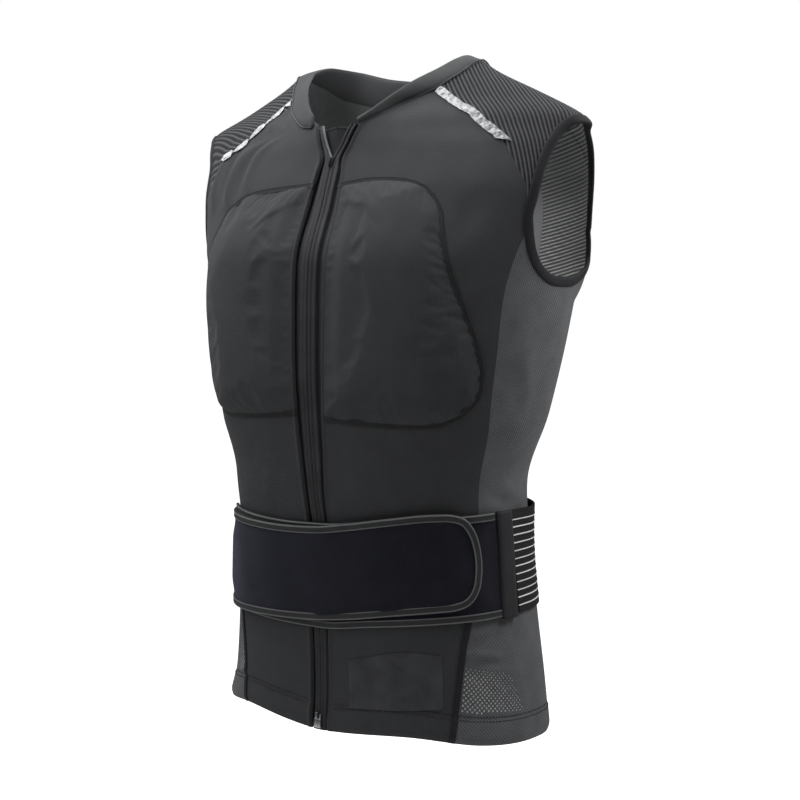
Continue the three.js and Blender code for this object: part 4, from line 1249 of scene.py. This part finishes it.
# Dull tape, a near-black line down the side
black_tape = fabric("black seam tape", "#2b2b2f", "#1a1a1d", 1.3, 1.3, 0.1, 0.75, 0.1, 0.5, 0.2)
across = np.linspace(-1, 1, 9)
for side, sign in SIDES.items():
    line = side_seam[side][side_seam[side][:, 1] < SEAM_TAPE_TOP]
    line, at = by_length(line * (sign, 1), 2.0)
    height = SEAM_TAPE_LIFT + SEAM_TAPE_CROWN * (1 - across ** 2) + hem_relief(line)[:, None]
    grid = ribbon(line, -SEAM_TAPE_WIDTH / 2 * across, height)
    trim(f"side_seam_tape_{side}", grid, [black_tape], SEAM_TAPE_THICKNESS, "edge_binding")

# Neck band: a soft doubled band of brushed grey knit, sewn to the neck and open at the zip, with
# rounded front ends. A thin pale cord along its seam is a painted highlight on the seam's edge.
# Free edge: turn of the seam below it, and its place
NECK_TOP = np.array([
    (21, 22, -84, -58),
    (35, 45, -68, -39),
    (46.6, 61.5, -50, -22),
    (60, 76.5, -26, -7.5),
    (90, 84, -5, 3.5),
    (110, 82, 19, 9),
    (133, 69.5, 46.5, 6.3),
    (155, 40, 58, -1.5),
    (180, 0, 61, -7),
])
# Section of the band: share of the way from the seam to the free edge, and the lift outwards
NECK_SECTION = np.array([
    (0.0, 0.6), (0.12, 1.5), (0.3, 1.9), (0.5, 1.8), (0.7, 1.6), (0.88, 1.2), (0.98, 0.3), (1.02, -0.9),
    (1.0, -2.0), (0.9, -2.7), (0.7, -3.0), (0.45, -3.0), (0.2, -2.8), (0.0, -2.4), (-0.05, -0.9), (0.0, 0.6),
])
# Sides of the section after this one lie inside, and those up to it are the band's outer face
NECK_INSIDE = 7
# The band's right front end is wider and laps over the front panel, as turn and level
NECK_RIGHT = [(23, -61), (28.4, -59.5), (33, -54.5), (36.5, -50), (43.5, -40.8), (51.2, -28.3), (57.6, -20)]
NECK_YOKE_RIGHT = (66, -11)
SEAM_HIGHLIGHT_RADIUS = 0.7
# Brushed face with a soft nap that blurs its stitches
neck_knit = fabric("grey brushed knit", "#4c4d4e", "#3c3d3e", 2.0, 2.0, 0.08, 0.85, 0.4, 0.3, 0.5)
# Smooth knit on the inner face of the band, painted paler than the band as painted light in the shaded inside
# of the neck
neck_lining = fabric("grey neck lining", "#6e6f71", "#646567", 2.4, 2.4, 0.05, 0.85, 0.1, 0.2, 0.2)
# Smooth pale cord in the seam, a painted highlight on the seam's edge
seam_highlight_cloth = fabric("pale seam highlight cord", "#606162", "#48494a", 1.2, 1.2, 0.1, 0.6, 0.1, 0.4, 0.2)


def folded_band(name, grid, materials, slot, node, loop=False):
    """Band folded to a closed section, of which the first places lie outside."""
    piece = grid_piece(name, grid, *materials, tube=True, loop=loop)
    soften(piece)
    wear(piece, slot, node)
    return piece


def paint_sides(piece, section, rows, chosen):
    """Gives the second material to the chosen sides of a tube's section."""
    sides = len(section) - 1
    for face in piece.data.polygons[:sides * (rows - 1)]:
        face.material_index = int(face.index % sides in chosen)


neck_line = {
    "left": joined(seam([NECK_START, *NECK_FRONT, NECK_FRONT_END, NECK_YOKE_FRONT], 60), neck_shoulder),
    "right": joined(
        seam([*NECK_RIGHT, NECK_YOKE_RIGHT], 60),
        seam([NECK_YOKE_RIGHT, *NECK_SHOULDER[1:], NECK_YOKE_BACK], 90),
    ),
}
rest_of_neck = joined(seam([NECK_YOKE_BACK, NECK_BACK_SEAM], 16), seam([NECK_BACK_SEAM, NECK_BACK], 40))
foot, rim = {}, {}
for side, sign in SIDES.items():
    half = joined(neck_line[side], rest_of_neck)
    foot[side] = body(half[:, 0], half[:, 1]) * (sign, 1, 1)
    rim[side] = through(NECK_TOP, half[:, 0]) * (sign, 1, 1)
foot, rim = (np.concatenate([line["left"], line["right"][-2::-1]]) for line in (foot, rim))
rise = rim - foot
out = unit(np.cross(np.gradient(foot + rim, axis=0), rise))
count = np.arange(len(foot))
# The ends are rounded off over the first and last four steps
shrink = np.sqrt(np.clip(np.minimum(count, count[::-1]) / 4, 0.02, 1))[:, None]
share, lift = NECK_SECTION.T
grid = foot[:, None] + rise[:, None] * (share * shrink)[..., None] + out[:, None] * lift[:, None]
collar = folded_band(
    "collar", grid, [neck_knit, neck_lining], "neck_knit", "neck_band",
)
# The band's inner sides take the paler paint, as painted light in the shaded inside of the neck
paint_sides(collar, NECK_SECTION, len(foot), range(NECK_INSIDE + 1, len(NECK_SECTION)))
turns = np.linspace(0, 2 * math.pi, 9)[:, None]
centre = foot + unit(rise) * 0.2 + out * 1.2
ring = unit(rise)[:, None] * np.cos(turns) + out[:, None] * np.sin(turns)
seam_highlight_cord = grid_piece("neck_seam_highlight_cord", centre[:, None] + ring * SEAM_HIGHLIGHT_RADIUS, seam_highlight_cloth, tube=True)
wear(seam_highlight_cord, "neck_knit")

# Armhole bindings: a black elastic tape folded over the raw edge all round each armhole and sewn
# down with one row of thread.
# Section of the binding: distance into the opening, and the lift outwards
BINDING_SECTION = np.array([
    (-1.6, 0.5), (-0.9, 1.2), (0.8, 1.6), (3.2, 1.7), (5.8, 1.5), (7.4, 0.8), (8.1, -0.6), (7.6, -2.0),
    (6.0, -2.8), (3.2, -3.0), (0.4, -2.8), (-1.2, -2.2), (-1.9, -0.8), (-1.6, 0.5),
])
# Near-black elastic with a faint weave
binding_cloth = fabric("black elastic binding", "#2a2a2e", "#18181b", 1.6, 1.6, 0.12, 0.7, 0.15, 0.5, 0.2)
arm_loop = joined(arm_front, arm_shoulder, arm_back[::-1], arm_under)
for side, sign in SIDES.items():
    line, at = by_length(arm_loop * (sign, 1), 2.4)
    inward, lift = BINDING_SECTION.T
    grid = ribbon(line, -sign * inward, lift, closed=True)
    grid[-1] = grid[0]
    folded_band(
        f"binding_{side}", grid, [binding_cloth], "edge_binding", f"armhole_binding_{side}",
        loop=True,
    )

# Mesh pocket: a low patch of fine charcoal mesh on the left front above the hem, with an arched
# upper edge. It is sewn down flat all round.
POCKET_TOP = [(9, -563), (28, -550), (45, -551.5)]
POCKET_BOTTOM = [(9, -609), (28, -605), (44, -601)]
POCKET_LIFT = 0.5
POCKET_CROWN = 0.5
POCKET_THICKNESS = 0.7
POCKET_COLUMNS = 70
POCKET_ROWS = 40
# Mesh too fine to show, so it is drawn at 2.4 mm, as a mottled face
pocket_mesh = fabric(
    "fine charcoal mesh", "#4a4b4d", "#2c2d2f", 2.4, 2.4, 0.06, 0.8, 0.2, 0.2, 1.6, clouds=1.2,
)
low, high = seam(POCKET_BOTTOM, 100), seam(POCKET_TOP, 100)
near, far = (np.linspace(low[end], high[end], 60) for end in (0, -1))
spots = patch(low, high, near, far, even(POCKET_COLUMNS), even(POCKET_ROWS))
places = skin(spots, POCKET_LIFT + POCKET_CROWN * smoothstep(from_edge(skin(spots)), 0, 3))
panel("pocket", places, [pocket_mesh], POCKET_THICKNESS, "pocket_mesh", "mesh_pocket")

# Belt wing: the under half of the waist belt, from the wearer's left, of foam-backed loop cloth
# with a folded grey edging along its upper and lower edges and its hidden end.
BELT_GAP = 0.8
BELT_THICKNESS = 2.6
BELT_EDGE_INSET = 2.0
BELT_EDGE_WIDTH = 5.5
BELT_BULGE = 2.4
BELT_COLUMNS = 130
BELT_ROWS = 44
# Slow waves in the belt's face: height, and the rate along the turn and the level
BELT_WAVES = ((0.25, 0.31, 0.05), (0.2, 0.17, -0.09))
# Turn, upper and lower edge
WING = np.array([
    (-60, -433.5, -535.5),
    (-14, -436, -535.5),
    (0, -434.5, -535),
    (18, -428.5, -528),
    (44, -422.5, -521.5),
    (75.5, -419.5, -517.5),
])
# Section of the edging: distance in from the belt's edge, and the lift over the belt's middle
EDGING_SECTION = np.array([
    (6.9, 1.2), (6.7, 1.9), (6.1, 2.1), (5.5, 1.9), (4.3, 1.7), (2.4, 1.7), (1.0, 1.95), (0.4, 2.0),
    (-0.3, 1.4), (-0.5, 0.0), (-0.2, -1.0), (1.0, -1.5), (4.0, -1.6), (6.6, -1.4), (6.9, 1.2),
])
# Sides of the section that are thin cords, painted paler as a painted highlight along each edge of the edging
EDGING_HIGHLIGHT_CORDS = (1, 2, 6, 7)
# Dense blue-black loop pile, which takes a bluish bloom at a slant
loop_cloth = fabric(
    "blue-black loop cloth", "#1e1f28", "#12131a", 1.8, 1.8, 0.25, 0.95, 0.2, 0.35, 0.8,
    clouds=1.0, bloom="#a3a6c4",
)
# Smooth grey tape, and the paler paint on the cord along each side of it, a painted highlight on its rounded
# edges
edging_cloth = fabric("grey folded edging", "#3f4041", "#2a2b2c", 1.6, 1.6, 0.12, 0.7, 0.2, 0.5, 0.2)
cord_highlight_cloth = fabric("grey edging cord highlight", "#77787a", "#5a5b5c", 1.6, 1.6, 0.1, 0.6, 0.3, 0.4, 0.2)


def wing_foot(turn):
    return np.full_like(turn, BELT_GAP)


def belt_edges(rows, count=240):
    """Upper and lower edge of a belt half."""
    turn = np.linspace(rows[0, 0], rows[-1, 0], count + 1)
    return [spots_at(turn, level) for level in through(rows, turn).T]


def besides(points, distance):
    """The line that follows points at a distance to their left, as turn and level."""
    along = unit(np.gradient(points, axis=0) * (MM_PER_TURN, 1))
    return points + spots_at(-along[:, 1] / MM_PER_TURN, along[:, 0]) * distance


def belt_half(name, bottom, top, left, right, foot, node):
    """Foam-backed half of the belt, which bulges between its edgings."""
    spots = patch(bottom, top, left, right, even(BELT_COLUMNS), even(BELT_ROWS))
    turn, z = np.moveaxis(spots, -1, 0)
    inside = smoothstep(from_edge(skin(spots)), BELT_EDGE_WIDTH, 5 * BELT_EDGE_WIDTH)
    waves = sum(height * np.sin(turn * around + z * up) for height, around, up in BELT_WAVES)
    lift = foot(turn) + BELT_THICKNESS - 0.3 + (BELT_BULGE + waves) * inside
    panel(
        name, skin(spots, lift), [loop_cloth], BELT_THICKNESS, "belt_loop_cloth", node,
    )


def edging(name, path, foot, node):
    """Folded edging along a path on the belt's edge, with a cord along each side painted paler as a painted
    highlight.
    """
    line, at = by_length(path, 3.0)
    inward, lift = EDGING_SECTION.T
    grid = ribbon(line, inward, foot(line[:, :1]) + BELT_THICKNESS / 2 + lift)
    cloths = [edging_cloth, cord_highlight_cloth]
    piece = folded_band(name, grid, cloths, "belt_edging", node)
    paint_sides(piece, EDGING_SECTION, len(line), EDGING_HIGHLIGHT_CORDS)


wing_top, wing_bottom = belt_edges(WING)
wing_path = joined(wing_top[::-1], np.linspace(wing_top[0], wing_bottom[0], 40), wing_bottom)
inner_top, inner_bottom = wing_top - (0, BELT_EDGE_INSET), wing_bottom + (0, BELT_EDGE_INSET)
near, far = (np.linspace(inner_bottom[end], inner_top[end], 40) for end in (0, -1))
belt_half("wing", inner_bottom, inner_top, near, far, wing_foot, "belt_wing")
edging("wing_edging", wing_path, wing_foot, "belt_wing_binding")

# Belt flap: the outer half of the belt, from the wearer's right, of the same loop cloth, with a
# rounded end and a grey edging all round. It crosses the wing and grips it by its hook face.
FLAP = np.array([
    (-77.5, -438.5, -534),
    (-51, -440.5, -536),
    (-20, -440, -532),
    (-4, -438, -528.5),
    (11, -430.5, -522),
    (28, -422.5, -514.5),
    (44, -418, -510),
    (51, -417.6, -508.6),
])
FLAP_END = [
    (55.6, -506.2), (59.4, -501.5), (62.4, -493), (64.3, -481), (65, -460), (63.4, -438), (60, -424.6),
    (56, -419.6),
]
# Turns between which the flap climbs onto the wing
FLAP_STEP = (-74, -61)
OVER_WING = BELT_GAP + BELT_THICKNESS + 0.6


def flap_foot(turn):
    return BELT_GAP + (OVER_WING - BELT_GAP) * smoothstep(turn, *FLAP_STEP)


flap_top, flap_bottom = belt_edges(FLAP)
flap_end = seam([flap_bottom[-1], *FLAP_END, flap_top[-1]], 80)
flap_path = joined(flap_bottom, flap_end, flap_top[::-1])
inner = besides(flap_path, BELT_EDGE_INSET)
corners = (len(flap_bottom) - 1, len(flap_bottom) + len(flap_end) - 2)
inner_bottom, inner_end, inner_top = (
    inner[:corners[0] + 1], inner[corners[0]:corners[1] + 1], inner[corners[1]:][::-1],
)
near = np.linspace(inner_bottom[0], inner_top[0], 60)
belt_half("flap", inner_bottom, inner_top, near, inner_end, flap_foot, "belt_flap")
edging("flap_edging", flap_path, flap_foot, "belt_flap_binding")

# Belt stitching: one row of black thread just inside the edging of the flap and of the wing, which
# holds the edging down.
STITCH_FROM_EDGE = 5.0
BELT_STITCH = (3.6, 2.6, 0.35)
run_lift = BELT_THICKNESS / 2 + 1.9
flap_line = besides(flap_path, STITCH_FROM_EDGE)
for name, line, foot in (
    ("flap_stitches", flap_line[flap_line[:, 0] > FLAP_STEP[1]], OVER_WING),
    ("wing_stitches_upper", wing_top - (0, STITCH_FROM_EDGE), BELT_GAP),
    ("wing_stitches_lower", wing_bottom + (0, STITCH_FROM_EDGE), BELT_GAP),
):
    thread_line(name, line, foot + run_lift, BELT_STITCH, dark_thread, "belt_edging")

# Belt elastic: a wide black woven elastic round the back, with fine white lines along it. It is
# stretched between the two tabs and sewn into them.
# Turn, upper and lower edge
ELASTIC = np.array([
    (86, -419.5, -517.5),
    (112, -420.5, -516.5),
    (180, -417, -513),
    (248, -424, -520),
    (272, -434, -531),
])
ELASTIC_COLUMNS = 160
ELASTIC_THICKNESS = 2.0
ELASTIC_STAND = 4.5
LINE_COUNT = 12
LINE_ROWS = 14
LINE_WIDTH = 0.16
LINE_HEIGHT = 0.5
# Plain margins below and above the lines, as shares of the width
LINE_MARGIN = (0.032, 0.055)
# Coarse black weave, and the bright lines woven into it
elastic_weave = fabric("black woven elastic", "#28282a", "#141415", 2.0, 1.4, 0.25, 0.7, 0.1, 0.6, 0.2)
white_lines = fabric("white elastic lines", "#f6f6f5", "#d9d9d8", 2.0, 1.4, 0.15, 0.7, 0.1, 0.5, 0.2)
turn = np.linspace(ELASTIC[0, 0], ELASTIC[-1, 0], ELASTIC_COLUMNS + 1)
upper, lower = through(ELASTIC, turn).T
share = even(LINE_COUNT * LINE_ROWS)[:, None]
cells = (share - LINE_MARGIN[0]) / (1 - sum(LINE_MARGIN)) * LINE_COUNT
lined = (cells > 0) & (cells < LINE_COUNT)
raised = LINE_HEIGHT * lined * bell(cells % 1 - 0.5, 0.1)
# It is stretched straight past the hollow of the waist, and stands off at its upper edge
stand_off = ELASTIC_STAND * share ** 2 * smoothstep(turn, 88, 104) * (1 - smoothstep(turn, 150, 175))
spots = spots_at(turn, lower + (upper - lower) * share)
elastic = panel(
    "elastic", skin(spots, BELT_GAP + ELASTIC_THICKNESS + raised + stand_off), [elastic_weave, white_lines],
    ELASTIC_THICKNESS, "belt_elastic", "belt_elastic",
)
for face in elastic.data.polygons:
    row = min(face.vertices) // len(turn)
    middle = (cells[row, 0] + cells[row + 1, 0]) / 2
    face.material_index = int(lined[row, 0] and abs(middle % 1 - 0.5) < LINE_WIDTH / 2)

# Belt tabs: a length of black webbing on each side, folded over the end of the elastic and over the
# end of the belt's half, and sewn through both.
TAB_TURN = 81
TAB_HALF = 4.6
TAB_SLANT = -1.4
TAB_BOTTOM = -520
TAB_TOP = -419
TAB_DROP = {"left": 0, "right": -14}
TAB_ROWS = 60
# Section of the tab: share of its half width, and the lift over the belt's inner face
TAB_SECTION = np.array([
    (1.0, 1.0), (1.03, 2.6), (0.95, 4.2), (0.7, 4.8), (0.3, 4.9), (0.0, 4.7), (-0.3, 4.9), (-0.7, 4.8),
    (-0.95, 4.2), (-1.03, 2.6), (-1.0, 1.0), (-0.9, 0.2), (0.0, 0.0), (0.9, 0.2), (1.0, 1.0),
])
TAB_OUTSIDE = slice(1, 10)
# Dull black webbing with a flat weave
webbing = fabric("black folded webbing", "#38383b", "#262629", 1.8, 2.4, 0.1, 0.75, 0.1, 0.4, 0.3)
for side, sign in SIDES.items():
    up = even(TAB_ROWS)[:, None]
    share, lift = TAB_SECTION.T
    turn = sign * (TAB_TURN + TAB_SLANT * (1 - up)) + TAB_HALF * share
    spots = spots_at(turn, TAB_BOTTOM + (TAB_TOP - TAB_BOTTOM) * up + TAB_DROP[side])
    grid = skin(spots, BELT_GAP + lift)
    tab = grid_piece(f"tab_{side}", grid, webbing, tube=True)
    wear(tab, "webbing", f"belt_tab_{side}")
